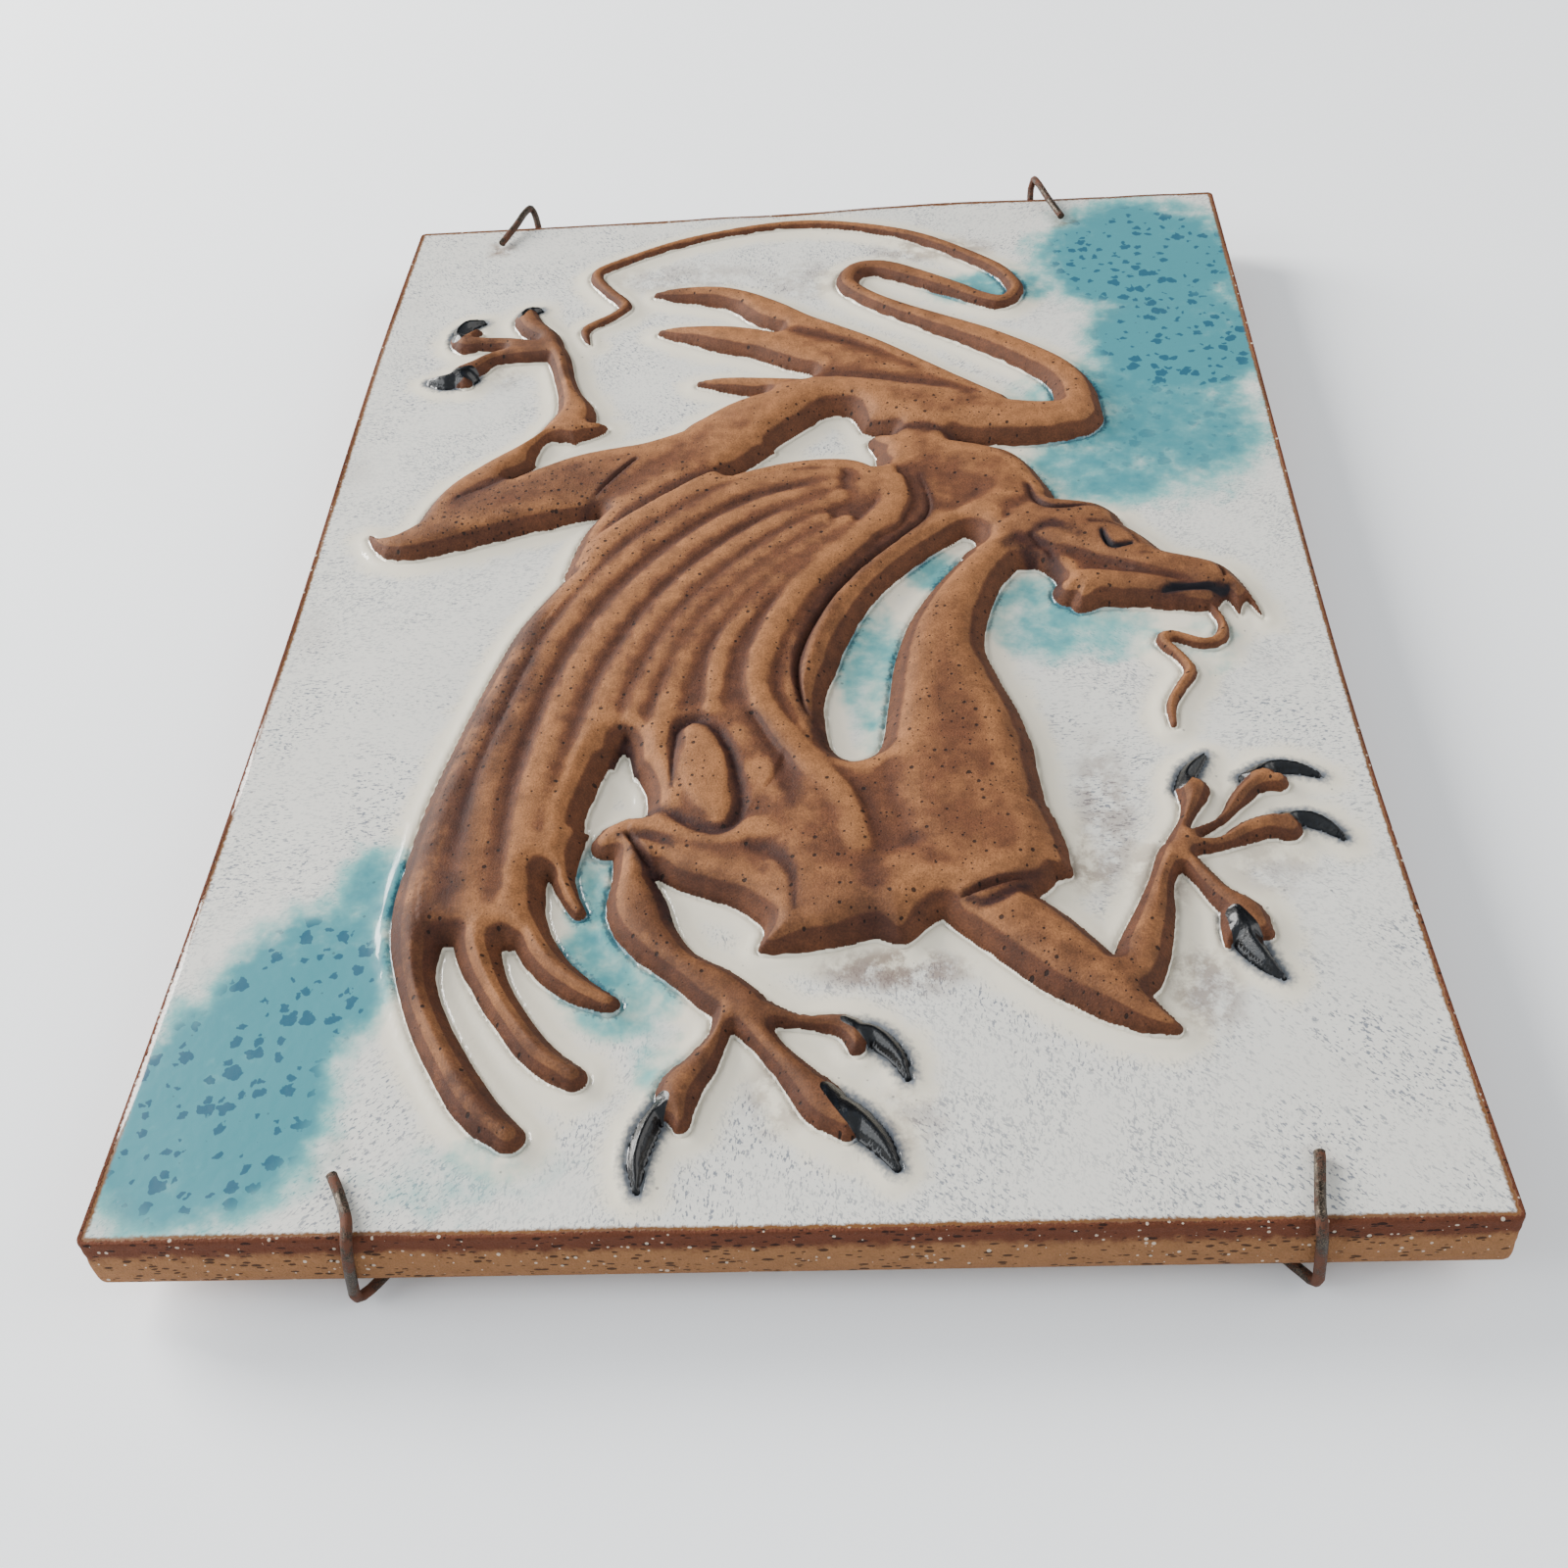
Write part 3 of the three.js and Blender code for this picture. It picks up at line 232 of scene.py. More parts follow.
# Openings through the figure, down to the face.
HOLLOWS = [
  [[45.4, 203.2], [43, 204.4], [38.9, 201.9], [31.1, 194.5], [22, 184], [15.6, 172.2], [10.9, 158.7],
    [7.8, 142.9], [7.2, 135.5], [8.8, 126.2], [13.7, 122], [19.5, 125.8], [21.6, 140], [23.6, 156.3],
    [27.6, 171.5], [34.3, 186.8], [42.5, 197.6], [45.6, 200.8]],
  [[-8, 248], [-6, 252], [1, 259], [6, 264], [12, 264], [15.5, 258], [17.5, 250], [16, 243], [4, 242.5]],
  [[-43.6, 122.4], [-44.8, 119.2], [-46.2, 113], [-47.4, 107], [-47, 101.8], [-43.3, 103],
    [-38.2, 105.9], [-34.3, 106.3], [-34.2, 111], [-35.4, 115.3], [-37.2, 118.6], [-39.4, 118.6],
    [-41.4, 120.9]],
  [[-76.5, 246.5], [-76.5, 253], [-74, 258], [-66, 256], [-70, 250]],
]
# Cuts in the figure's surface: [x, y, half width, depth left above the face].
CREASES = {
  "mouth": [[91, 176, 1.2, 3.6], [95.3, 176.5, 1.8, 3.4], [103.8, 176.3, 1.9, 3.4],
  [108.5, 177, 1.4, 3.6]],
  "eye": [[78.3, 198, 1, 6.8], [78.8, 194.3, 1.2, 6.4], [80.5, 191.4, 1.4, 6.2], [85.1, 192.1, 1, 6.4]],
  "brow": [[75.5, 202, 0.7, 7], [81.3, 201.2, 1, 6.8], [84.8, 198.5, 1, 6.6], [87.3, 192.5, 0.7, 6.6]],
  "ear": [[61, 220, 0.8, 5.8], [62, 215, 1.1, 5.8], [65, 210.4, 1.4, 5.6], [70, 209.3, 1.4, 5.8],
    [76, 210.2, 1.1, 6.2], [81.5, 210, 0.7, 6.6]],
  "jaw_fold": [[60, 199, 1, 5.8], [63.1, 195.3, 1.5, 5.2], [65.3, 190.3, 1.6, 4.8], [66.2, 184.4, 1, 5]],
  "nostril": [[104.6, 188.6, 0.7, 6], [106.2, 184.6, 1.1, 5.6], [107.2, 179.8, 0.7, 5.2]],
  "rump": [[18, 251, 1.2, 5], [34, 250.5, 1.5, 5], [47, 245, 1.5, 5], [58, 235, 1.2, 5]],
  "thigh": [[-47, 241, 1, 5], [-54, 231, 1.3, 4.8], [-60.5, 219, 1, 5]],
  "shin": [[-76, 243.5, 1.2, 4], [-85, 235.5, 1.4, 4.2], [-96, 227, 1, 5]],
  "foreleg": [[-37, 98, 1, 4.6], [-31.5, 89, 1.8, 3.4], [-27, 81, 1.4, 3]],
  "armpit": [[36.5, 76, 1.2, 5], [44, 79, 1.5, 5], [53, 82.5, 1.2, 4.6]],
  "shoulder": [[32, 228, 1.4, 5.6], [34, 212, 2, 5], [26, 201, 2.2, 4.6], [14, 188, 2.2, 4.4],
    [5, 171, 2, 4.4], [0, 154, 1.8, 4.4], [2, 138, 1.6, 4.6], [8, 127, 1.2, 5]],
}

# The clay floor at the wing gap's upper end.
SLOT = [[-40.6, 130.4], [-42.8, 124.8], [-44.6, 119.6], [-44, 117], [-38, 116.4], [-35.8, 115.6],
    [-37.4, 122],
    [-38.8, 128.4]]

# Soft grooves [x, y, half width, depth] with the share of purple-brown stain that settles in each.
STROKES = [
    (1.0, [[-33.3, 105.8, 1.0, 0.3], [-30, 104, 1.4, 0.9], [-25.2, 100.8, 1.5, 1.2],
      [-20.8, 98, 1.6, 1.4],
           [-16.4, 96.8, 1.6, 1.5], [-13.2, 98.5, 1.6, 1.5], [-11.6, 105, 1.4, 1.3],
           [-12.9, 113.7, 1.3, 1.2],
           [-14.6, 121, 1.3, 1.2], [-17.6, 127.4, 1.5, 1.3], [-21.2, 131.4, 1.6, 1.4],
           [-24.6, 132.4, 1.5, 1.4],
           [-27.6, 130.2, 1.2, 1.2], [-28, 125.5, 0.7, 0.9], [-28.1, 117, 0.5, 0.7],
           [-27.7, 110.5, 0.4, 0.3]]),
    (0.9, [[-40.8, 125.8, 1.2, 0.8], [-39.8, 121, 1.8, 1.2], [-37.6, 115.5, 1.4, 0.8]]),
    (0.8, [[-38.5, 97.6, 1.0, 0.2], [-32.2, 96.2, 1.5, 0.8], [-26.5, 93.4, 1.0, 0.2]]),
    (1.0, [[-35.6, 93, 0.8, 0.2], [-31, 88, 1.6, 0.6], [-28.2, 82.2, 1.8, 0.8], [-25.6, 74, 1.5, 0.6]]),
    (0.8, [[-9.8, 92, 0.8, 0.2], [-5.4, 90.6, 1.8, 0.8], [-1.4, 87, 1.6, 0.7], [0.8, 80.5, 0.9, 0.4],
           [0.8, 74, 0.7, 0.1]]),
    (0.6, [[-9.8, 133.6, 1.4, 0.5], [-6.9, 129.2, 1.8, 0.7], [-4, 122.6, 2.2, 0.8],
      [-1.8, 116.7, 2.8, 0.9],
           [-0.4, 108.7, 2.6, 0.7], [-0.3, 103, 1.6, 0.2]]),
    (0.5, [[17.3, 84, 2.5, 0.3], [17.8, 76, 3.6, 0.8], [19.5, 67, 3.6, 0.6], [21, 62, 2, 0.2]]),
    (1.0, [[38.4, 74.9, 1.2, 0.6], [41.5, 73.8, 1.5, 0.9], [45.9, 76, 1.4, 0.8], [50.6, 79.4, 0.8, 0.3]]),
    (0.7, [[10.4, 120.8, 1.0, 0.2], [5.4, 127.4, 1.0, 0.4], [1.3, 138, 1.1, 0.6], [1.0, 149, 1.4, 0.8],
           [1.6, 160, 1.5, 0.8], [4, 170.5, 1.8, 0.8], [8.6, 180.4, 2.2, 0.8], [14, 187, 2.8, 0.8],
           [19.6, 194.6, 3, 0.6], [23.5, 199.5, 2, 0.2]]),
    (0.9, [[54, 196, 1.8, 0.6], [57, 197.2, 2.4, 0.9], [59.4, 194, 2, 0.7], [60, 191, 1.4, 0.4]]),
    (0.9, [[61.2, 200.2, 1.1, 0.4], [65.1, 202, 1.7, 0.9], [68.7, 200, 1.5, 0.7], [72.8, 197, 0.9, 0.2]]),
    (0.9, [[60.1, 199.1, 0.9, 0.3], [63.1, 195.3, 1.4, 0.8], [65.3, 190.3, 1.4, 0.9],
      [66.2, 184.4, 1.1, 0.7],
           [65.4, 178.6, 0.8, 0.4]]),
    (0.6, [[74.8, 187.2, 0.7, 0.3], [78.1, 184.7, 0.8, 0.5], [82, 183.5, 0.6, 0.2]]),
    (0.8, [[105, 188.4, 0.6, 0.3], [106.2, 184.6, 0.8, 0.8], [107, 180, 0.7, 0.5]]),
    (0.9, [[104.8, 177.8, 0.8, 0.9], [105.6, 177.8, 0.8, 0.9]]),
    (0.8, [[87.2, 187.8, 0.8, 0.6], [88, 187.8, 0.7, 0.5]]),
    (0.9, [[61, 221, 0.7, 0.4], [62, 215.6, 1, 0.8], [65, 210.6, 1.3, 1], [70, 209.6, 1.2, 1],
      [77, 210.4, 1, 0.7],
           [81.5, 210, 0.6, 0.2]]),
]
# The black gloss in the eye's slit and along the mouth.
GLOSS = [
    [[78.2, 198.2, 0.5, 0.2], [78.8, 194.3, 0.9, 0.4], [80, 191.8, 1.1, 0.4], [82, 191.2, 0.9, 0.3],
     [85.1, 192.2, 0.5, 0.2]],
    [[92, 176.2, 0.8, 0.2], [95.3, 176.6, 1.3, 0.3], [103.8, 176.3, 1.3, 0.3], [107.4, 176.8, 0.9, 0.2]],
]
# Soft patches on the face [x, y, reach across, reach up, strength].
TEAL_PATCHES = [
    [106, 350, 40, 44, 1.0], [112, 300, 34, 40, 1.0], [60, 334, 26, 12, 0.8], [46, 335, 14, 10, 0.5],
    [98, 258, 42, 44, 0.85], [84, 236, 28, 22, 0.8], [72, 228, 14, 12, 0.7], [60, 172, 15, 20, 0.75],
    [78, 165, 16, 12, 0.6], [100, 160, 10, 14, 0.4], [18, 155, 10, 34, 0.7], [36, 192, 10, 10, 0.7],
    [-116, 30, 30, 36, 1.0], [-104, 60, 24, 28, 1.0], [-93, 86, 12, 18, 0.8], [-44, 86, 8, 16, 0.75],
    [-42, 64, 12, 14, 0.8], [-34, 54, 14, 12, 0.7], [-60, 12, 26, 12, 0.4], [-26, 40, 8, 12, 0.5],
    [110, 375, 28, 16, 0.8], [126, 330, 14, 40, 0.8],
]
MAUVE_PATCHES = [
    [22, 61, 17, 6, 0.9], [65, 90, 8, 10, 0.7], [40, 360, 22, 8, 0.6], [70, 105, 7, 24, 0.6],
    [85, 54, 8, 12, 0.7],
    [-2, 30, 7, 10, 0.5], [24, 24, 8, 8, 0.4], [-40, 350, 26, 10, 0.4], [0, 345, 16, 12, 0.4],
    [80, 85, 8, 12, 0.5],
    [104, 86, 10, 8, 0.4], [-92, 300, 6, 12, 0.4],
]
SPECK_PATCHES = [
    [-72, 160, 9, 34, 1.0], [-60, 195, 9, 14, 1.0], [-42, 214, 12, 10, 0.8], [-15, 232, 24, 8, 0.7],
    [-78, 130, 8, 26, 0.7], [-90, 218, 26, 12, 1.0], [-70, 226, 24, 14, 0.8], [30, 262, 40, 12, 0.4],
    [38, 120, 20, 30, 0.35], [34, 160, 10, 20, 0.35], [30, 95, 18, 14, 0.4], [-30, 75, 8, 16, 0.3],
    [75, 200, 22, 14, 0.25], [60, 60, 16, 14, 0.3],
]
DARK_PATCHES = [
    [-64, 28, 16, 16, 1.0], [-74, 52, 12, 20, 0.8], [-48, 42, 16, 14, 0.8], [-44, 60, 14, 14, 0.6],
    [-80, 90, 11, 50, 1.0], [-72, 156, 11, 50, 1.0], [-90, 300, 34, 30, 0.8], [-95, 218, 30, 14, 0.7],
    [60, 58, 22, 20, 0.7], [82, 86, 20, 20, 0.7], [36, 150, 12, 30, 0.4], [-20, 46, 26, 28, 0.8],
    [0, 40, 24, 24, 0.8], [0, 70, 30, 12, 0.6], [-22, 72, 16, 22, 0.8], [52, 112, 6, 34, 0.5],
    [95, 90, 22, 28, 0.7],
    [8, 150, 5, 30, 0.6], [98, 184, 22, 16, 0.6], [72, 205, 20, 14, 0.5], [20, 350, 60, 24, 0.6],
    [-70, 232, 24, 14, 0.6], [-55, 340, 20, 24, 0.7], [50, 330, 30, 24, 0.5],
]
RUST_PATCHES = [[-104.8, 375.5, 4, 4, 1.0], [83.3, 374, 4, 4, 1.0], [-88.6, 18.6, 3, 3, 0.5],
    [100.3, 14.6, 3, 3, 0.5]]

# Each hook's own route [x, y, z], from its free end on the face round the tile's edge.
HOOKS = {
  "top_left": [[-104.8, 376.9, 1.5], [-101, 386.5, 2.7], [-98.4, 394, 3.8], [-97, 397.6, 3],
  [-95.8, 396.8, 0],
    [-95, 394.2, -3.5], [-94.4, 393, -10], [-93.8, 391.8, -16.2], [-91.5, 386.5, -WIRE_DEPTH]],
  "top_right": [[83.3, 375.5, 1.5], [79.6, 386.5, 2.7], [77, 395, 3.8], [75.8, 399, 3], [75, 398.6, 0],
    [74.6, 395.8, -3.5], [74.2, 394.4, -10], [73.8, 392.6, -16.2], [72, 386.5, -WIRE_DEPTH]],
  "bottom_left": [[-87.4, 13.4, 1.5], [-84.8, 8.6, 1.5], [-82.4, 3.2, 1.8], [-81.8, -0.9, 1.1],
  [-82.1, -2, -2],
    [-83.2, -2.1, -9], [-84.2, -2.1, -16], [-83.4, -0.8, -WIRE_DEPTH], [-79.5, 4, -WIRE_DEPTH]],
  "bottom_right": [[100.2, 14.1, 1.5], [98.9, 7, 1.5], [98, 2, 1.8], [97.9, -1.1, 1], [98.2, -2, -2.5],
    [98.8, -2.1, -9], [99.4, -2.1, -16], [98.6, -0.6, -WIRE_DEPTH], [95, 3.5, -WIRE_DEPTH]],
}

# Small swellings and dips [x, y, reach across, reach up, turn in degrees, height].
SWELLINGS = [
    [82.2, 195.8, 4.2, 2.6, -50, 0.9], [109.6, 184, 2.6, 4.4, 20, 0.7], [71.5, 214.4, 9, 2.4, -12, 0.7],
    [54, 203.6, 5, 1.2, 40, 0.5], [64, 188, 1.2, 7, 5, 0.5], [88, 201, 2.2, 5, 40, 0.4],
    [-21, 115, 5, 11, 10, 0.5],
    [-29.6, 108.4, 2.6, 2.2, 0, 0.5], [53.4, 91, 4.5, 9, 20, 0.5], [6, 108, 3, 14, 25, 0.4],
    [18, 222, 5, 6, 0, 2.0],
]
# The wing gap's upper end, where the floor is clay and not glaze.
SLOT_FLOOR = 2.6

# ---------------------------------------------------------------- lines and fields
Rows = list[list[float]]
Place = tuple[float, float, float]


def smooth_line(points: Rows, step: float, closed: bool = False, tension: float = 0.5) -> np.ndarray:
    """Sample a smooth curve through rows of numbers whose first two columns are places.

    Args:
        points: rows of equal length.
        step: greatest distance between samples, in millimetres.
        closed: whether the curve returns to its first row.
        tension: how far the curve swings out at each point; 0 gives straight lines.

    Returns:
        One row for each sample, with every column interpolated.
    """
    rows = np.asarray(points, float)
    if closed:
        rows = np.vstack([rows[-1:], rows, rows[:2]])
    else:
        rows = np.vstack([2 * rows[0] - rows[1], rows, 2 * rows[-1] - rows[-2]])
    parts = []
    for before, start, end, after in zip(rows, rows[1:], rows[2:], rows[3:]):
        count = max(1, math.ceil(float(np.hypot(*(end - start)[:2])) / step))
        t = (np.arange(count) / count)[:, None]
        leave = tension * (end - before)
        arrive = tension * (after - start)
        parts.append(
            (2 * t**3 - 3 * t**2 + 1) * start + (t**3 - 2 * t**2 + t) * leave
            + (3 * t**2 - 2 * t**3) * end + (t**3 - t**2) * arrive
        )
    parts.append(rows[-2:-1])
    return np.vstack(parts)


def ease(value: np.ndarray, low: float, high: float) -> np.ndarray:
    """Smooth step from 0 at low to 1 at high."""
    t = np.clip((value - low) / (high - low), 0.0, 1.0)
    return t * t * (3 - 2 * t)


def soften(values: np.ndarray, reach: int) -> np.ndarray:
    """Blur an array by three passes of a running mean of 2 * reach + 1 cells.

    Args:
        values: the array.
        reach: half the width of each pass, in cells.

    Returns:
        The blurred array.
    """
    width = 2 * reach + 1
    for _ in range(3):
        for axis in (0, 1):
            pad = [(0, 0), (0, 0)]
            pad[axis] = (reach + 1, reach)
            total = np.cumsum(np.pad(values, pad, mode="edge"), axis=axis)
            high = np.take(total, range(width, total.shape[axis]), axis=axis)
            low = np.take(total, range(0, total.shape[axis] - width), axis=axis)
            values = (high - low) / width
    return values


def waves(x: np.ndarray, y: np.ndarray, size: float, seed: int) -> np.ndarray:
    """Smooth random field between -1 and 1.

    Args:
        x: places across, in millimetres.
        y: places up, in millimetres.
        size: distance between its random values, in millimetres.
        seed: which of the fields.

    Returns:
        The field's value at each place.
    """
    table = np.random.default_rng(seed).uniform(-1, 1, (256, 256))
    u = x / size + 97.3
    v = y / size + 61.7
    i = np.floor(u).astype(int)
    j = np.floor(v).astype(int)
    fu = ease(u - i, 0, 1)
    fv = ease(v - j, 0, 1)
    at = [[table[(j + b) % 256, (i + a) % 256] for a in (0, 1)] for b in (0, 1)]
    return (at[0][0] * (1 - fu) + at[0][1] * fu) * (1 - fv) + (at[1][0] * (1 - fu) + at[1][1] * fu) * fv


def put(name: str, data: bpy.types.ID) -> bpy.types.Object:
    """Add an object to the scene's collection.

    Args:
        name: of the object.
        data: its mesh, light or camera.

    Returns:
        The object.
    """
    made = bpy.data.objects.new(name, data)
    bpy.context.collection.objects.link(made)
    return made


def triangles(piece: bpy.types.Object) -> int:
    """How many triangles a piece comes to."""
    return sum(len(face.vertices) - 2 for face in piece.data.polygons)


@dataclass
class NearLine:
    """What a line of samples gives at each place of a window of the face."""

    window: tuple[slice, slice]
    ratio: np.ndarray
    distance: np.ndarray
    inside: np.ndarray
    width: np.ndarray
    height: np.ndarray
    side: np.ndarray


@dataclass
class FaceGrid:
    """Even grid of places over the face of the tile."""

    columns: int = 536
    rows: int = 776
    inset: float = 0.5
    x: np.ndarray = field(init=False)
    y: np.ndarray = field(init=False)

    def __post_init__(self) -> None:
        """Lay out the grid's lines."""
        half = TILE_WIDTH / 2 - self.inset
        self.x = np.linspace(-half, half, self.columns + 1)
        self.y = np.linspace(self.inset, TILE_HEIGHT - self.inset, self.rows + 1)

    def places(self) -> tuple[np.ndarray, np.ndarray]:
        """Every place's x and y, as two arrays."""
        return np.meshgrid(self.x, self.y)

    def window(self, low: np.ndarray, high: np.ndarray, margin: float) -> tuple[slice, slice]:
        """Rows and columns of the grid that lie within a margin of a box.

        Args:
            low: the box's low corner.
            high: its high corner.
            margin: how far past it the window reaches.

        Returns:
            The rows and the columns.
        """
        left, right = np.searchsorted(self.x, [low[0] - margin, high[0] + margin])
        bottom, top = np.searchsorted(self.y, [low[1] - margin, high[1] + margin])
        return slice(bottom, top), slice(left, right)

    def depth(self, held: np.ndarray, reach: int) -> np.ndarray:
        """Distance from each held place to the nearest one that isn't.

        Args:
            held: whether each place is held.
            reach: the largest distance looked for, in steps of the grid.

        Returns:
            The distances in millimetres.
        """
        steps = np.where(held, float(reach), 0.0)
        for line in (steps, steps[:, ::-1]):
            for column in range(1, line.shape[1]):
                line[:, column] = np.minimum(line[:, column], line[:, column - 1] + 1)
        squares = steps**2
        nearest = squares.copy()
        for shift in range(1, reach):
            nearest[shift:] = np.minimum(nearest[shift:], squares[:-shift] + shift**2)
            nearest[:-shift] = np.minimum(nearest[:-shift], squares[shift:] + shift**2)
        return np.sqrt(nearest) * (TILE_WIDTH - 2 * self.inset) / self.columns

    def near_line(self, samples: np.ndarray, margin: float) -> NearLine:
        """Measure every place near a line of samples [x, y, half width, height].

        Args:
            samples: the line's rows.
            margin: how far past the line's half width the window reaches.

        Returns:
            The measures, over the smallest window that holds the line and its margin.
        """
        reach = margin + float(samples[:, 2].max())
        window = self.window(samples[:, :2].min(axis=0), samples[:, :2].max(axis=0), reach)
        shape = (window[0].stop - window[0].start, window[1].stop - window[1].start)
        near = NearLine(window, *[np.full(shape, fill) for fill in (1e3, 1e3, -1e3, 1.0, 0.0, 0.0)])
        for start, end in zip(samples, samples[1:]):
            span = end[:2] - start[:2]
            length = float(np.hypot(*span))
            if length < 1e-6:
                continue
            own = margin + max(start[2], end[2])
            rows, columns = self.window(np.minimum(start, end)[:2], np.maximum(start, end)[:2], own)
            if rows.start >= rows.stop or columns.start >= columns.stop:
                continue
            x, y = np.meshgrid(self.x[columns] - start[0], self.y[rows] - start[1])
            t = np.clip((x * span[0] + y * span[1]) / length**2, 0, 1)
            distance = np.hypot(x - t * span[0], y - t * span[1])
            width = np.maximum(start[2] + t * (end[2] - start[2]), 0.3)
            height = start[3] + t * (end[3] - start[3])
            side = np.sign(span[0] * y - span[1] * x)
            local = (
                slice(rows.start - window[0].start, rows.stop - window[0].start),
                slice(columns.start - window[1].start, columns.stop - window[1].start),
            )
            ratio = distance / width
            closer = ratio < near.ratio[local]
            for mine, new in (
                (near.ratio, ratio), (near.distance, distance), (near.width, width),
                (near.height, height), (near.side, side),
            ):
                mine[local] = np.where(closer, new, mine[local])
            near.inside[local] = np.maximum(near.inside[local], width - distance)
        return near

    def near_outline(self, outline: np.ndarray, margin: float) -> tuple[tuple[slice, slice], np.ndarray]:
        """Signed distance to a closed outline, positive inside it, over the window round it.

        Args:
            outline: the outline's places.
            margin: how far past it the window reaches.

        Returns:
            The window and the distances in it.
        """
        line = np.column_stack([outline, np.zeros(len(outline)), np.zeros(len(outline))])
        near = self.near_line(line, margin)
        x, y = np.meshgrid(self.x[near.window[1]], self.y[near.window[0]])
        inside = np.zeros(x.shape, bool)
        for (ax, ay), (bx, by) in zip(outline, outline[1:]):
            if ay == by:
                continue
            crosses = (ay > y) != (by > y)
            inside ^= crosses & (x < (bx - ax) * (y - ay) / (by - ay) + ax)
        return near.window, np.where(inside, near.distance, -near.distance)


@dataclass
class DragonRelief:
    """Heights of the modelled dragon over the face, with the fields that colour it.

    Attributes:
        grid: the places over the face.
        sample_step: distance between samples of a form's line.
        shore_reach: how far outside the figure the distance to its outline is known.
        blend: how softly the body's own forms run into each other.
        wall_share: share of a form's height that is upright wall.
        rib_skew: how far the wing's ribs crest towards their left side, as a share of half width.
        lip: height of the upright wall along the figure's outline.
        roll: how far in from the outline the surface rolls over.
        give: how softly it does.
        cap_power: how full the rolled surface is between its lip and its summit.
        shoulder: height above which every form is pressed flatter.
        summit: height that no form reaches.
        least: height of the lowest modelled surface.
        depth_reach: how far in from the outline depth is looked for, in steps of the grid.
        depth_margin: how much nearer than that depth a form's own edge may count.
    """

    grid: FaceGrid
    sample_step: float = 2.5
    shore_reach: float = 14.0
    blend: float = 1.6
    wall_share: float = 0.5
    rib_skew: float = 0.3
    lip: float = 0.8
    roll: float = 12.0
    give: float = 0.35
    cap_power: float = 0.95
    shoulder: float = 6.8
    summit: float = 8.5
    least: float = 0.6
    depth_reach: int = 28
    depth_margin: float = 0.4
    body: np.ndarray = field(init=False)
    shore: np.ndarray = field(init=False)
    claw: np.ndarray = field(init=False)
    stain: np.ndarray = field(init=False)
    gloss: np.ndarray = field(init=False)
    crest: np.ndarray = field(init=False)

    def __post_init__(self) -> None:
        """Start from a bare face, then model the figure on it."""
        shape = (self.grid.rows + 1, self.grid.columns + 1)
        self.body = np.zeros(shape)
        self.shore = np.full(shape, -self.shore_reach)
        self.claw = np.full(shape, -6.0)
        self.stain = np.zeros(shape)
        self.gloss = np.zeros(shape)
        self.model()

    def model(self) -> None:
        """Raise every form, cut the openings and grooves, and measure how the surface curves."""
        for height, outline in GROUNDS.values():
            self.lay_ground(height, outline)
        for form in [*LIMBS.values(), TAIL, *FAR_WING]:
            self.raise_form(form, self.blend, 0.0)
        for form in NEAR_WING[:-1]:
            self.raise_form(form, 1.8, self.rib_skew)
        self.raise_form(NEAR_WING[-1], 0.6, 0.0)
        for toe in [toe for foot in TOES.values() for toe in foot]:
            self.raise_form(toe, 0.8, 0.0)
        self.raise_form(TONGUE, 0.3, 0.0)
        for claw in CLAWS:
            self.raise_form(claw, 0.0, 0.0)
            self.mark_claw(claw)
        self.swell()
        self.cut_openings()
        held = self.shore > 0
        depth = self.grid.depth(held, self.depth_reach) - self.depth_margin
        self.shore = np.where(held, np.maximum(self.shore, depth), self.shore)
        for crease in CREASES.values():
            self.cut_crease(crease)
        for strength, stroke in STROKES:
            self.press_stroke(strength, stroke)
        for stroke in GLOSS:
            self.mark_gloss(stroke)
        self.roughen()
        self.measure_crest()

    def merge(self, window: tuple[slice, slice], body: np.ndarray, inside: np.ndarray, blend: float) -> None:
        """Join a raised body to the figure, and its outline to the figure's.

        Args:
            window: where the body lies.
            body: its heights.
            inside: how far inside its outline each place lies.
            blend: how softly it runs into what is there.
        """
        here = self.body[window]
        top = np.maximum(here, body)
        if blend > 0:
            overlap = np.clip(np.minimum(here, body) / 2, 0, 1)
            top = top + np.maximum(blend - np.abs(here - body), 0) ** 2 / (4 * blend) * overlap
        self.body[window] = top
        self.shore[window] = np.maximum(self.shore[window], inside)

    def lay_ground(self, height: float, outline: Rows) -> None:
        """Raise a flat-topped ground inside an outline."""
        window, inside = self.grid.near_outline(smooth_line(outline, 1.5, True, 0.45), self.shore_reach)
        self.merge(window, np.where(inside > 0, height, 0.0), inside, 0.0)

    def raise_form(self, points: Rows, blend: float, skew: float) -> None:
        """Raise a form with steep walls and a rounded crown along its line.

        Args:
            points: the form's rows.
            blend: how softly it runs into what is there.
            skew: where its crest lies, as a share of its half width to the line's left.
        """
        near = self.grid.near_line(smooth_line(points, self.sample_step), self.shore_reach)
        across = near.ratio * near.side
        shifted = np.where(across > skew, (across - skew) / (1 - skew), (across - skew) / (1 + skew))
        crown = np.sqrt(np.clip(1 - shifted**2, 0, 1))
        top = near.height * (self.wall_share + (1 - self.wall_share) * crown)
        self.merge(near.window, np.where(near.ratio < 1, top, 0.0), near.inside, blend)

    def mark_claw(self, points: Rows) -> None:
        """Remember how far each place lies inside a claw."""
        near = self.grid.near_line(smooth_line(points, 1.0), 6.0)
        self.claw[near.window] = np.maximum(self.claw[near.window], near.inside)

    def swell(self) -> None:
        """Add the small swellings inside the figure."""
        x, y = self.grid.places()
        for cx, cy, across, up, turn, height in SWELLINGS:
            angle = math.radians(turn)
            u = (x - cx) * math.cos(angle) + (y - cy) * math.sin(angle)
            v = (y - cy) * math.cos(angle) - (x - cx) * math.sin(angle)
            self.body += height * np.exp(-((u / across) ** 2) - (v / up) ** 2) * (self.shore > 0)

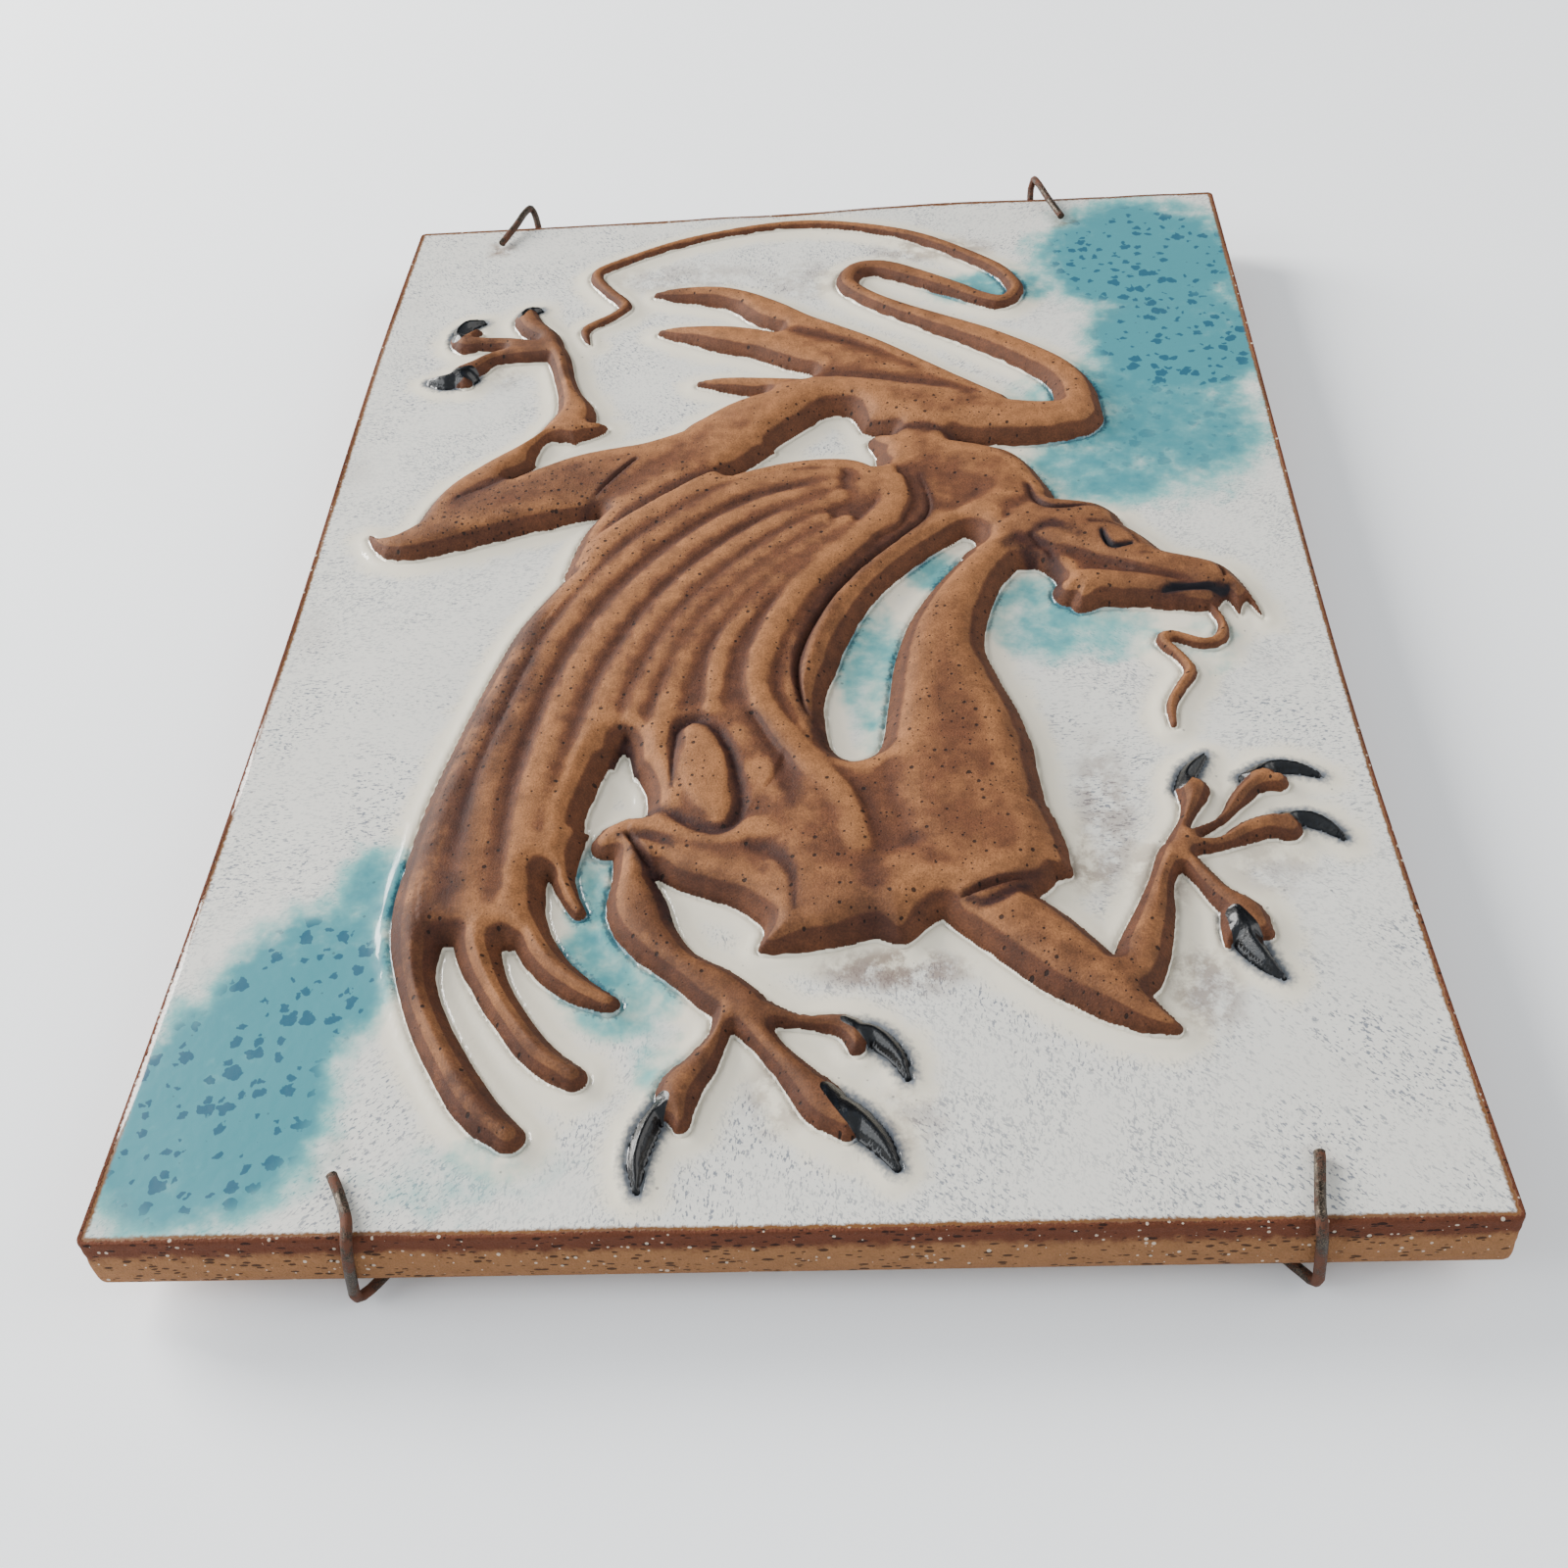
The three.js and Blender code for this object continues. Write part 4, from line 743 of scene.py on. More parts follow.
    def cut_openings(self) -> None:
        """Cut the openings through the figure, down to the face or to the slot's clay floor."""
        for outline in HOLLOWS:
            window, inside = self.grid.near_outline(smooth_line(outline, 1.0, True, 0.4), self.shore_reach)
            self.shore[window] = np.minimum(self.shore[window], -inside)
        window, inside = self.grid.near_outline(smooth_line(SLOT, 1.0, True, 0.4), 4.0)
        deep = ease(inside, -0.5, 0.2)
        self.body[window] = self.body[window] * (1 - deep) + np.minimum(self.body[window], SLOT_FLOOR) * deep
        self.stain[window] = np.maximum(self.stain[window], ease(inside, -0.8, 0.3))

    def cut_crease(self, points: Rows) -> None:
        """Cut a wedge whose foot line runs at the given heights, and stain it.

        Args:
            points: rows of [x, y, half width, height left].
        """
        near = self.grid.near_line(smooth_line(points, 1.5), 6.0)
        soft = np.hypot(near.distance, 0.35) - 0.35
        wedge = near.height + soft * (12 - near.height) / (2 * near.width)
        self.body[near.window] = np.minimum(self.body[near.window], wedge)
        tint = np.exp(-((near.distance / (1.3 * near.width)) ** 2))
        self.stain[near.window] = np.maximum(self.stain[near.window], 0.75 * tint)

    def press_stroke(self, strength: float, points: Rows) -> None:
        """Press a soft groove and let stain settle in it.

        Args:
            strength: share of stain that it takes.
            points: rows of [x, y, half width, depth].
        """
        near = self.grid.near_line(smooth_line(points, 1.5), 8.0)
        groove = np.exp(-((near.distance / near.width) ** 2))
        self.body[near.window] -= near.height * groove
        tint = strength * np.exp(-((near.distance / (1.25 * near.width)) ** 4))
        self.stain[near.window] = np.maximum(self.stain[near.window], tint)

    def mark_gloss(self, points: Rows) -> None:
        """Press a fine groove that is filled with black gloss.

        Args:
            points: rows of [x, y, half width, depth].
        """
        near = self.grid.near_line(smooth_line(points, 1.0), 3.0)
        self.body[near.window] -= near.height * np.exp(-((near.distance / near.width) ** 2))
        inked = 1 - ease(near.ratio, 0.8, 1.15)
        self.gloss[near.window] = np.maximum(self.gloss[near.window], inked)

    def roughen(self) -> None:
        """Give the modelled surface the slight unevenness that fingers leave."""
        x, y = self.grid.places()
        uneven = 0.16 * waves(x, y, 7.0, 3) + 0.07 * waves(x, y, 2.6, 4) + 0.03 * waves(x, y, 1.3, 5)
        body = np.maximum(self.body + uneven * ease(self.shore, 0.4, 3.0), self.least)
        inward = 1 - np.clip(self.shore / self.roll, 0, 1)
        cap = self.lip + (self.summit - self.lip) * (1 - inward**2) ** self.cap_power
        body = cap - np.log1p(np.exp((cap - body) / self.give)) * self.give
        body = np.maximum(body, self.least)
        over = np.maximum(body - self.shoulder, 0)
        self.body = np.minimum(body, self.shoulder) + over / (1 + over / (self.summit - self.shoulder))

    def measure_crest(self) -> None:
        """Measure where the surface swells (positive) or falls in (negative), inside the figure only."""
        held = (self.shore > 0).astype(float)
        near = soften(self.body * held, 1) / np.maximum(soften(held, 1), 1e-3)
        far = soften(self.body * held, 5) / np.maximum(soften(held, 5), 1e-3)
        self.crest = np.clip((near - far) / 0.55, -1.5, 1.5) * held

    def ground(self) -> np.ndarray:
        """Height of the glazed ground: a slight unevenness, rising against the figure's walls.

        Returns:
            Heights above the face.
        """
        x, y = self.grid.places()
        slow = 0.22 * waves(x, y, 24.0, 8) + 0.08 * waves(x, y, 8.0, 9)
        away = np.minimum(self.shore, 0.0)
        roll = 0.4 * np.exp(-(((away + 1.5) / 1.1) ** 2)) + 0.5 * np.exp(away / 2.6)
        return slow * ease(-away, 0.5, 4.0) + roll * ease(-away, 0.0, 0.5) - 0.05


@dataclass
class SlabEdge:
    """The slab's outline and the section of its edge.

    Attributes:
        corner: radius of its corners.
        band: how far in from an edge the bow of that edge is felt.
        section: rows of how far in each ring lies and how far below the face.
        roughness: depth of the side's torn chamotte texture.
        foot_flare: how far the lower side leans out towards its back.
    """

    corner: float = 1.4
    band: float = 8.0
    right_bow: tuple[float, ...] = (0, -2.4, -3.8, -3.4, -2.2, -1, 0)
    top_bow: tuple[float, ...] = (0, 0.6, 2.3, 0.4, 0, -0.2, 0)
    left_bow: tuple[float, ...] = (0, 0.6, 0, -1.2, -1.6, -1.2, 0)
    section: tuple[tuple[float, float], ...] = (
        (0.25, -0.15), (0.08, -0.4), (0.0, -0.9), (0.05, -2.2), (0.0, -3.6), (0.15, -5.0),
        (0.05, -6.4), (0.0, -8.0), (0.05, -9.6), (0.0, -11.2), (0.1, -12.5), (0.5, -13.5), (1.8, -14.0),
    )
    roughness: float = 0.45
    foot_flare: float = 0.8

    def bow(self, offsets: tuple[float, ...], t: np.ndarray) -> np.ndarray:
        """How far an edge bows out at shares t of its length.

        Args:
            offsets: bows at even steps along the edge.
            t: shares of its length.

        Returns:
            The bow at each share.
        """
        places = np.linspace(0, 1, len(offsets))
        line = smooth_line([[float(p), 0.0, float(o)] for p, o in zip(places, offsets)], 0.02)
        return np.interp(t, line[:, 0], line[:, 2])

    def bend(self, x: np.ndarray, y: np.ndarray, inset: float) -> tuple[np.ndarray, np.ndarray]:
        """Move places of a plain rectangle so that its edges bow and its corners round.

        Args:
            x: places across.
            y: places up.
            inset: how far in the rectangle's edges lie.

        Returns:
            The moved places.
        """
        half = TILE_WIDTH / 2 - inset
        up = np.clip((y - inset) / (TILE_HEIGHT - 2 * inset), 0, 1)
        across = np.clip((half - x) / (2 * half), 0, 1)
        right = self.bow(self.right_bow, up) * ease(x, half - self.band, half)
        left = self.bow(self.left_bow, 1 - up) * ease(-x, half - self.band, half)
        top = self.bow(self.top_bow, across) * ease(y, TILE_HEIGHT - inset - self.band, TILE_HEIGHT - inset)
        new_x = x + right - left
        new_y = y + top
        middle = TILE_HEIGHT / 2
        a = np.abs(x) - (half - self.corner)
        b = np.abs(y - middle) - (middle - inset - self.corner)
        in_corner = (a > 0) & (b > 0)
        shrink = np.where(in_corner, np.maximum(a, b) / np.maximum(np.hypot(a, b), 1e-9), 1.0)
        new_x -= np.where(in_corner, np.sign(x) * a * (1 - shrink), 0)
        new_y -= np.where(in_corner, np.sign(y - middle) * b * (1 - shrink), 0)
        return new_x, new_y


@dataclass
class Tile:
    """The stoneware tile with its dragon: one closed skin over face, sides and back.

    Attributes:
        relief: the figure's heights and fields.
        edge: the slab's outline.
        wall_run: how far in from the outline's foot the upright wall reaches its top.
        fine_band: distances from the outline between which the mesh is finest.
        near_ground: distance from the outline past which the ground's patches are 4 cells wide.
        open_ground: distance past which they are 8 cells wide.
        deep: distance inside the outline past which level places take patches of 4 cells.
        tolerance: how far a place may bend away from its neighbours in a coarser patch.
        border_cells: width of the border strip whose patches stay at 4 cells or less.
        draw: farthest that a corner is drawn onto the outline.
        tie: node name that the piece stands for.
    """

    relief: DragonRelief
    edge: SlabEdge = field(default_factory=SlabEdge)
    wall_run: float = 0.5
    fine_band: tuple[float, float] = (-0.5, 0.8)
    near_ground: float = -2.0
    open_ground: float = -9.0
    deep: float = 6.0
    tolerance: float = 0.16
    border_cells: int = 12
    draw: float = 0.23
    tie: str = "tile"

    def patch_sizes(self) -> np.ndarray:
        """Size of the patch that covers each cell of the grid: 1, 2, 4 or 8 cells.

        Returns:
            One number for each cell.
        """
        grid = self.relief.grid
        shore = self.relief.shore
        middle = (shore[1:, 1:] + shore[:-1, :-1] + shore[1:, :-1] + shore[:-1, 1:]) / 4
        wanted = np.full(middle.shape, 8)
        wanted[middle > self.open_ground] = 4
        wanted[middle > self.near_ground] = 2
        wanted[(middle > self.fine_band[0]) & (middle < self.fine_band[1])] = 1
        rise = self.bending()
        wanted[(rise < self.tolerance / 2) & (middle > self.deep)] = 4
        wanted[(rise > self.tolerance * 2) & (middle > 0)] = 1
        for strip in (wanted[: self.border_cells], wanted[-self.border_cells :]):
            strip[:] = np.minimum(strip, 4)
        for strip in (wanted[:, : self.border_cells], wanted[:, -self.border_cells :]):
            strip[:] = np.minimum(strip, 4)
        for rows in (slice(0, 8), slice(-8, None)):
            for columns in (slice(0, 8), slice(-8, None)):
                wanted[rows, columns] = 1
        sizes = np.ones(middle.shape, int)
        for size in (2, 4, 8):
            blocks = wanted.reshape(grid.rows // size, size, grid.columns // size, size).min(axis=(1, 3))
            whole = np.repeat(np.repeat(blocks >= size, size, axis=0), size, axis=1)
            sizes[whole] = size
        return sizes

    def bending(self) -> np.ndarray:
        """How far the modelled surface bends at each cell, 0 outside the figure.

        Returns:
            The larger second difference of height, across or up, for each cell.
        """
        body = np.where(self.relief.shore > 0, self.relief.body, np.nan)
        rise = np.zeros((body.shape[0] - 1, body.shape[1] - 1))
        for turned, heights in ((rise, body), (rise.T, body.T)):
            second = np.nan_to_num(np.abs(np.diff(heights, 2, axis=0)))[:, :-1]
            turned[:-1] = np.maximum(turned[:-1], second)
            turned[1:] = np.maximum(turned[1:], second)
        return rise

    def face_patches(self, sizes: np.ndarray) -> tuple[np.ndarray, list[list[int]]]:
        """Turn patch sizes into faces that share every corner on their edges.

        Args:
            sizes: size of the patch that covers each cell.

        Returns:
            The numbers of the grid's places that are used, and the faces as lists of those places.
        """
        rows, columns = sizes.shape
        wide = columns + 1
        starts = {}
        used = np.zeros((rows + 1, wide), bool)
        for size in (1, 2, 4, 8):
            j, i = np.nonzero(sizes[::size, ::size] == size)
            j, i = j * size, i * size
            starts[size] = (j, i)
            for b in (0, size):
                for a in (0, size):
                    used[j + b, i + a] = True
        j, i = starts[1]
        corner = j * wide + i
        faces = np.stack([corner, corner + 1, corner + wide + 1, corner + wide], axis=1).tolist()
        flat = used.ravel()
        for size in (2, 4, 8):
            along = np.arange(size)
            ring = np.concatenate([
                along, size + along * wide, size * wide + size - along, (size - along) * wide,
            ])
            corners = starts[size][0] * wide + starts[size][1]
            around = corners[:, None] + ring[None, :]
            kept = flat[around]
            faces.extend(line[keep].tolist() for line, keep in zip(around, kept))
        return np.flatnonzero(flat), faces

    def settle(self, numbers: np.ndarray) -> dict[str, np.ndarray]:
        """Place the used corners, drawing those near the outline onto its foot or its top.

        Args:
            numbers: the grid's places that are used.

        Returns:
            Places x, y and z in the tile's frame and the distance `shore` of each.
        """
        relief = self.relief
        x, y = (values.ravel()[numbers] for values in relief.grid.places())
        shore = relief.shore.ravel()[numbers].copy()
        cell = relief.grid.x[1] - relief.grid.x[0]
        up, across = np.gradient(soften(relief.shore, 1), cell)
        length = np.maximum(np.hypot(up, across), 1e-6)
        target = np.where(shore < self.wall_run / 2, 0.0, self.wall_run)
        near = (shore > -cell / 2) & (shore < self.wall_run + cell / 2)
        move = np.where(near, np.clip(target - shore, -self.draw, self.draw), 0.0)
        x = x + move * (across / length).ravel()[numbers]
        y = y + move * (up / length).ravel()[numbers]
        shore = np.where(near, target, shore)
        wall = np.clip(shore / self.wall_run, 0, 1)
        z = wall * relief.body.ravel()[numbers] + (1 - wall) * relief.ground().ravel()[numbers]
        return {"x": x, "y": y, "z": z, "shore": shore}

    def build(self) -> bpy.types.Object:
        """Make the tile's mesh with the fields that its finish reads.

        Returns:
            The finished object.
        """
        grid = self.relief.grid
        numbers, faces = self.face_patches(self.patch_sizes())
        index = np.full((grid.rows + 1) * (grid.columns + 1), -1)
        index[numbers] = np.arange(len(numbers))
        faces = [index[line].tolist() for line in faces]
        placed = self.settle(numbers)
        flat_x, flat_y = placed["x"], placed["y"]
        rim = np.minimum.reduce([
            flat_x - grid.x[0], grid.x[-1] - flat_x, flat_y - grid.y[0], grid.y[-1] - flat_y,
        ])
        x, y = self.edge.bend(flat_x, flat_y, grid.inset)
        loop = self.border(numbers)
        rings, ring_faces = self.side_rings(x[loop], y[loop], len(numbers), loop)
        vertices = np.vstack([to_row(x, y, placed["z"]), rings])
        mesh = bpy.data.meshes.new("glazed_tile")
        mesh.from_pydata(vertices.tolist(), [], faces + ring_faces)
        mesh.shade_smooth()
        for name, values, bare in self.fields(numbers, placed, rim):
            layer = mesh.attributes.new(name, "FLOAT", "POINT")
            padded = np.full(len(vertices), bare, np.float32)
            padded[: len(numbers)] = values
            layer.data.foreach_set("value", padded)
        return put("glazed_tile", mesh)

    def border(self, numbers: np.ndarray) -> np.ndarray:
        """Positions in numbers of the face's border places, counter-clockwise from the bottom left.

        Args:
            numbers: the grid's places that are used.

        Returns:
            The positions.
        """
        rows, columns = self.relief.grid.rows, self.relief.grid.columns
        wide = columns + 1
        ring = np.concatenate([
            np.arange(columns), np.arange(rows) * wide + columns, rows * wide + columns - np.arange(columns),
            (rows - np.arange(rows)) * wide,
        ])
        kept = ring[np.isin(ring, numbers)]
        return np.searchsorted(numbers, kept)

    def side_rings(
        self, x: np.ndarray, y: np.ndarray, first: int, loop: np.ndarray
    ) -> tuple[np.ndarray, list[list[int]]]:
        """Carry the face's border down the side of the slab and close its back.

        Args:
            x: the border's places across.
            y: the border's places up.
            first: number of the first new vertex.
            loop: numbers of the border's own vertices.

        Returns:
            The new vertices in the row's frame and the new faces.
        """
        ahead = np.roll(np.arange(len(x)), -1)
        behind = np.roll(np.arange(len(x)), 1)
        out_x, out_y = y[ahead] - y[behind], x[behind] - x[ahead]
        length = np.hypot(out_x, out_y)
        out_x, out_y = out_x / length, out_y / length
        along = np.cumsum(np.hypot(x - x[behind], y - y[behind]))
        inset = self.relief.grid.inset
        vertices = []
        for ring_inset, z in self.edge.section:
            torn = ease(np.array(-z), 0.6, 3.0) * (1 - ease(np.array(-z), 12.0, 13.9))
            texture = 0.5 * waves(along, np.full_like(along, z * 2.4), 3.1, 21)
            texture += 0.5 * waves(along, np.full_like(along, z * 1.7), 1.9, 22)
            reach = inset - ring_inset - self.edge.roughness * torn * np.clip(texture, 0, 1)
            reach += self.edge.foot_flare * ease(np.array(-z), 0.5, 9.0) * np.clip(-out_y, 0, 1) ** 4
            vertices.append(to_row(x + out_x * reach, y + out_y * reach, np.full_like(x, z)))
        count = len(x)
        faces = []
        above = loop
        for ring in range(len(vertices)):
            below = first + ring * count + np.arange(count)
            faces.extend(np.stack([above, below, below[ahead], above[ahead]], axis=1).tolist())
            above = below
        faces.append(above[::-1].tolist())
        return np.vstack(vertices), faces

    def fields(
        self, numbers: np.ndarray, placed: dict[str, np.ndarray], rim: np.ndarray
    ) -> list[tuple[str, np.ndarray, float]]:
        """Fields that the finish reads, each with its value on the sides and the back.

        Args:
            numbers: the grid's places that are used.
            placed: what settle gave.
            rim: distance of each place from the face's edge.

        Returns:
            Name, values over the face and value elsewhere.
        """
        relief = self.relief
        x, y = placed["x"], placed["y"]
        held = (relief.shore > 0).astype(float)
        up, across = np.gradient(soften(held, 10) + 4 * soften(held, 40) + 10 * soften(held, 90))
        length = np.maximum(np.hypot(up, across), 1e-9)
        up, across = (up / length).ravel()[numbers], (across / length).ravel()[numbers]
        pick = {name: getattr(relief, name).ravel()[numbers] for name in ("claw", "stain", "gloss", "crest")}
        return [
            ("shore", placed["shore"], -14.0),
            ("claw", pick["claw"], -6.0),
            ("stain", pick["stain"], 0.0),
            ("gloss", pick["gloss"], 0.0),
            ("crest", pick["crest"], 0.0),
            ("rim", rim, 0.0),
            ("flow_level", across**2 - up**2, 1.0),
            ("flow_slant", 2 * across * up, 0.0),
            ("teal", patches(x, y, TEAL_PATCHES), 0.0),
            ("mauve", patches(x, y, MAUVE_PATCHES), 0.0),
            ("speck", patches(x, y, SPECK_PATCHES), 0.0),
            ("dark", patches(x, y, DARK_PATCHES), 0.0),
            ("rust", patches(x, y, RUST_PATCHES), 0.0),
        ]

    def dress(self, tile: bpy.types.Object, finish: "StonewareFinish") -> None:
        """Give the tile its finish and tie it to the frame.

        Args:
            tile: the built tile.
            finish: what it is covered with.
        """
        tile.data.materials.append(finish.material())
        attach(tile, "root")
        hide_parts(self.tie)


def patches(x: np.ndarray, y: np.ndarray, table: Rows) -> np.ndarray:
    """Strength of a table of soft patches at each place: the strongest one counts.

    Args:
        x: places across.
        y: places up.
        table: rows of [x, y, reach across, reach up, strength].

    Returns:
        The strength at each place.
    """
    total = np.zeros(len(x))
    for cx, cy, across, up, strength in table:
        away = np.hypot((x - cx) / across, (y - cy) / up)
        total = np.maximum(total, strength * (1 - ease(away, 0.55, 1.25)))
    return total


# ---------------------------------------------------------------- the hanger
@dataclass
class PathTube:
    """Geometry Nodes tree that lays a round tube along a path, with a coil beside it if asked.

    Attributes:
        name: of the tree.
        coil_sides: samples in one turn of the coil.
        round_sides: sides of the wire's round section.
    """

    name: str = "round_wire_along_path"
    coil_sides: int = 12
    round_sides: int = 10

    def tree(self) -> bpy.types.GeometryNodeTree:
        """Build the tree once, with named inputs for its sizes.

        Returns:
            The tree.
        """
        made = bpy.data.node_groups.get(self.name)
        if made:
            return made
        tree = bpy.data.node_groups.new(self.name, "GeometryNodeTree")
        face = tree.interface
        face.new_socket("Path", in_out="INPUT", socket_type="NodeSocketGeometry")
        for label in (
            "Wire Radius", "Coil Radius", "Coil Turns", "Coil Low", "Coil High", "Coil Across", "Coil Depth",
        ):
            face.new_socket(label, in_out="INPUT", socket_type="NodeSocketFloat")
        face.new_socket("Finish", in_out="INPUT", socket_type="NodeSocketMaterial")
        face.new_socket("Tube", in_out="OUTPUT", socket_type="NodeSocketGeometry")
        bench = Bench(tree)
        given = bench.add("NodeGroupInput")
        path = bench.add("GeometryNodeMeshToCurve")
        thin = bench.add("GeometryNodeInputNamedAttribute", data_type="FLOAT")
        thin.inputs["Name"].default_value = "girth"
        eased = bench.add("GeometryNodeSetCurveRadius")
        coil = bench.add("GeometryNodeCurveSpiral")
        coil.inputs["Resolution"].default_value = self.coil_sides
        length = bench.add("ShaderNodeMath", operation="SUBTRACT")
        place = bench.add("ShaderNodeCombineXYZ")
        moved = bench.add("GeometryNodeTransform")
        both = bench.add("GeometryNodeJoinGeometry")
        ring = bench.add("GeometryNodeCurvePrimitiveCircle")
        ring.inputs["Resolution"].default_value = self.round_sides
        tube = bench.add("GeometryNodeCurveToMesh")
        tube.inputs["Fill Caps"].default_value = True
        smooth = bench.add("GeometryNodeSetShadeSmooth")
        real = bench.add("GeometryNodeRealizeInstances")
        finish = bench.add("GeometryNodeSetMaterial")
        out = bench.add("NodeGroupOutput")
        for source, socket, target, entry in (
            (given, "Path", path, "Mesh"), (path, "Curve", eased, "Curve"),
            (thin, "Attribute", eased, "Radius"), (given, "Coil Turns", coil, "Rotations"),
            (given, "Coil Radius", coil, "Start Radius"),
            (given, "Coil Radius", coil, "End Radius"), (given, "Coil High", length, 0),
            (given, "Coil Low", length, 1), (length, 0, coil, "Height"), (given, "Coil Across", place, "X"),
            (given, "Coil Depth", place, "Y"), (given, "Coil Low", place, "Z"),
            (coil, "Curve", moved, "Geometry"), (place, 0, moved, "Translation"),
            (eased, "Curve", both, "Geometry"), (moved, "Geometry", both, "Geometry"),
            (given, "Wire Radius", ring, "Radius"), (both, "Geometry", tube, "Curve"),
            (ring, "Curve", tube, "Profile Curve"), (tube, "Mesh", smooth, "Geometry"),
            (smooth, "Geometry", real, "Geometry"), (real, "Geometry", finish, "Geometry"),
            (given, "Finish", finish, "Material"), (finish, "Geometry", out, "Tube"),
        ):
            bench.join(source.outputs[socket], target.inputs[entry])
        return tree

    def lay(
        self, name: str, path: np.ndarray, sizes: dict[str, float], finish: bpy.types.Material
    ) -> bpy.types.Object:
        """Lay the tube and return it as a plain mesh.

        Args:
            name: of the piece.
            path: places in the row's frame, in metres.
            sizes: the tree's inputs by name, in metres.
            finish: the piece's material.

        Returns:
            The piece, with no modifier left on it.
        """
        line = bpy.data.meshes.new(name + "_path")
        edges = [(i, i + 1) for i in range(len(path) - 1)]
        line.from_pydata(path.tolist(), edges, [])
        radius = sizes["Wire Radius"]
        travelled = np.concatenate([[0], np.cumsum(np.linalg.norm(np.diff(path, axis=0), axis=1))])
        from_end = np.minimum(travelled, travelled[-1] - travelled)
        inward = np.clip(1 - from_end / radius, 0, 1)
        girth = line.attributes.new("girth", "FLOAT", "POINT")
        girth.data.foreach_set("value", np.sqrt(np.maximum(1 - inward**2, 0.02)).astype(np.float32))
        holder = put(name + "_path", line)
        modifier = holder.modifiers.new("wire", "NODES")
        modifier.node_group = self.tree()
        for item in modifier.node_group.interface.items_tree:
            if item.in_out == "INPUT" and item.name in sizes:
                modifier[item.identifier] = sizes[item.name]
            if item.in_out == "INPUT" and item.name == "Finish":
                modifier[item.identifier] = finish
        bpy.context.view_layer.update()
        evaluated = holder.evaluated_get(bpy.context.evaluated_depsgraph_get())
        mesh = bpy.data.meshes.new_from_object(evaluated)
        mesh.name = name
        piece = put(name, mesh)
        bpy.data.objects.remove(holder)
        return piece


@dataclass
class HangerWire:
    """One bent wire of the hanger, from hook to hook.

    Attributes:
        name: of the piece.
        tie: node that it stands for.
        left: its left hook's route, from the free end to the wires' plane.
        right: its right hook's route.
        bend_height: of its spring bends.
        middle: centre height and radius of its middle bend.
        up: 1 where the middle bend goes over, -1 where it goes under.
        radius: of the wire.
        spring_x: distance of the spring bends from the middle.
        spring_bend: their radius.
        slant: angle by which each bend stops short of a half turn, at either side.
        arm_bow: shares across and up of the places that the bowed arm runs through.
        end_draw: share of the first step by which the left hook's free end is drawn back.
    """

    name: str
    tie: str
    left: Rows
    right: Rows
    bend_height: float
    middle: tuple[float, float]
    up: int
    radius: float = 1.15
    spring_x: float = SPRING_X
    spring_bend: float = 3.0
    slant: float = 0.25
    arm_bow: tuple[tuple[float, float], ...] = ((0.36, 0.16), (0.7, 0.42), (0.9, 0.7))
    end_draw: float = 0.02

    def bend(self, x: float, y: float, radius: float, up: int) -> list[Place]:
        """Places round a bend in the wires' plane, from its left side to its right.

        Args:
            x: the bend's middle across.
            y: its middle up.
            radius: of its centre line.
            up: 1 where it goes over, -1 where it goes under.

        Returns:
            Nine places.
        """
        places = []
        for t in np.linspace(0, 1, 9):
            angle = math.pi - up * (self.slant + t * (math.pi - 2 * self.slant))
            places.append((x + radius * math.cos(angle), y + radius * math.sin(angle), -WIRE_DEPTH))
        return places

    def arm(self, hook: Rows) -> list[Place]:
        """Places along the bowed arm from a hook to beside its spring bend.

        Args:
            hook: the hook's route.

        Returns:
            The arm's places, from the hook inwards.
        """
        x, y, _ = hook[-1]
        across = math.copysign(self.spring_x + self.spring_bend, x) - x
        along = self.bend_height - y
        return [(x + across * u, y + along * v, -WIRE_DEPTH) for u, v in self.arm_bow]

    def path(self) -> np.ndarray:
        """The whole wire's smooth route, kept inside its node's box.

        Returns:
            Places in the row's frame, in metres.
        """
        places = [
            *self.left, *self.arm(self.left),
            *self.bend(-self.spring_x, self.bend_height, self.spring_bend, -self.up),
            *self.bend(0, self.middle[0], self.middle[1], self.up),
            *self.bend(self.spring_x, self.bend_height, self.spring_bend, -self.up),
            *self.arm(self.right)[::-1], *self.right[::-1],
        ]
        line = smooth_line([list(p) for p in places], 1.4)
        line[0] += (line[1] - line[0]) * self.end_draw
        row = to_row(*line.T)
        low, high = (np.array(corner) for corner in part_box(self.tie))
        margin = self.radius * MILLIMETRE
        return np.clip(row, low + margin, high - margin)

    def build(self, finish: "SteelFinish") -> bpy.types.Object:
        """Lay the wire, dress it and tie it to the frame.

        Args:
            finish: what it is covered with.

        Returns:
            The piece.
        """
        sizes = {"Wire Radius": self.radius * MILLIMETRE, "Coil Radius": 0.0, "Coil Turns": 0.0}
        piece = PathTube().lay(self.name, self.path(), sizes, finish.material())
        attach(piece, "root")
        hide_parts(self.tie)
        return piece


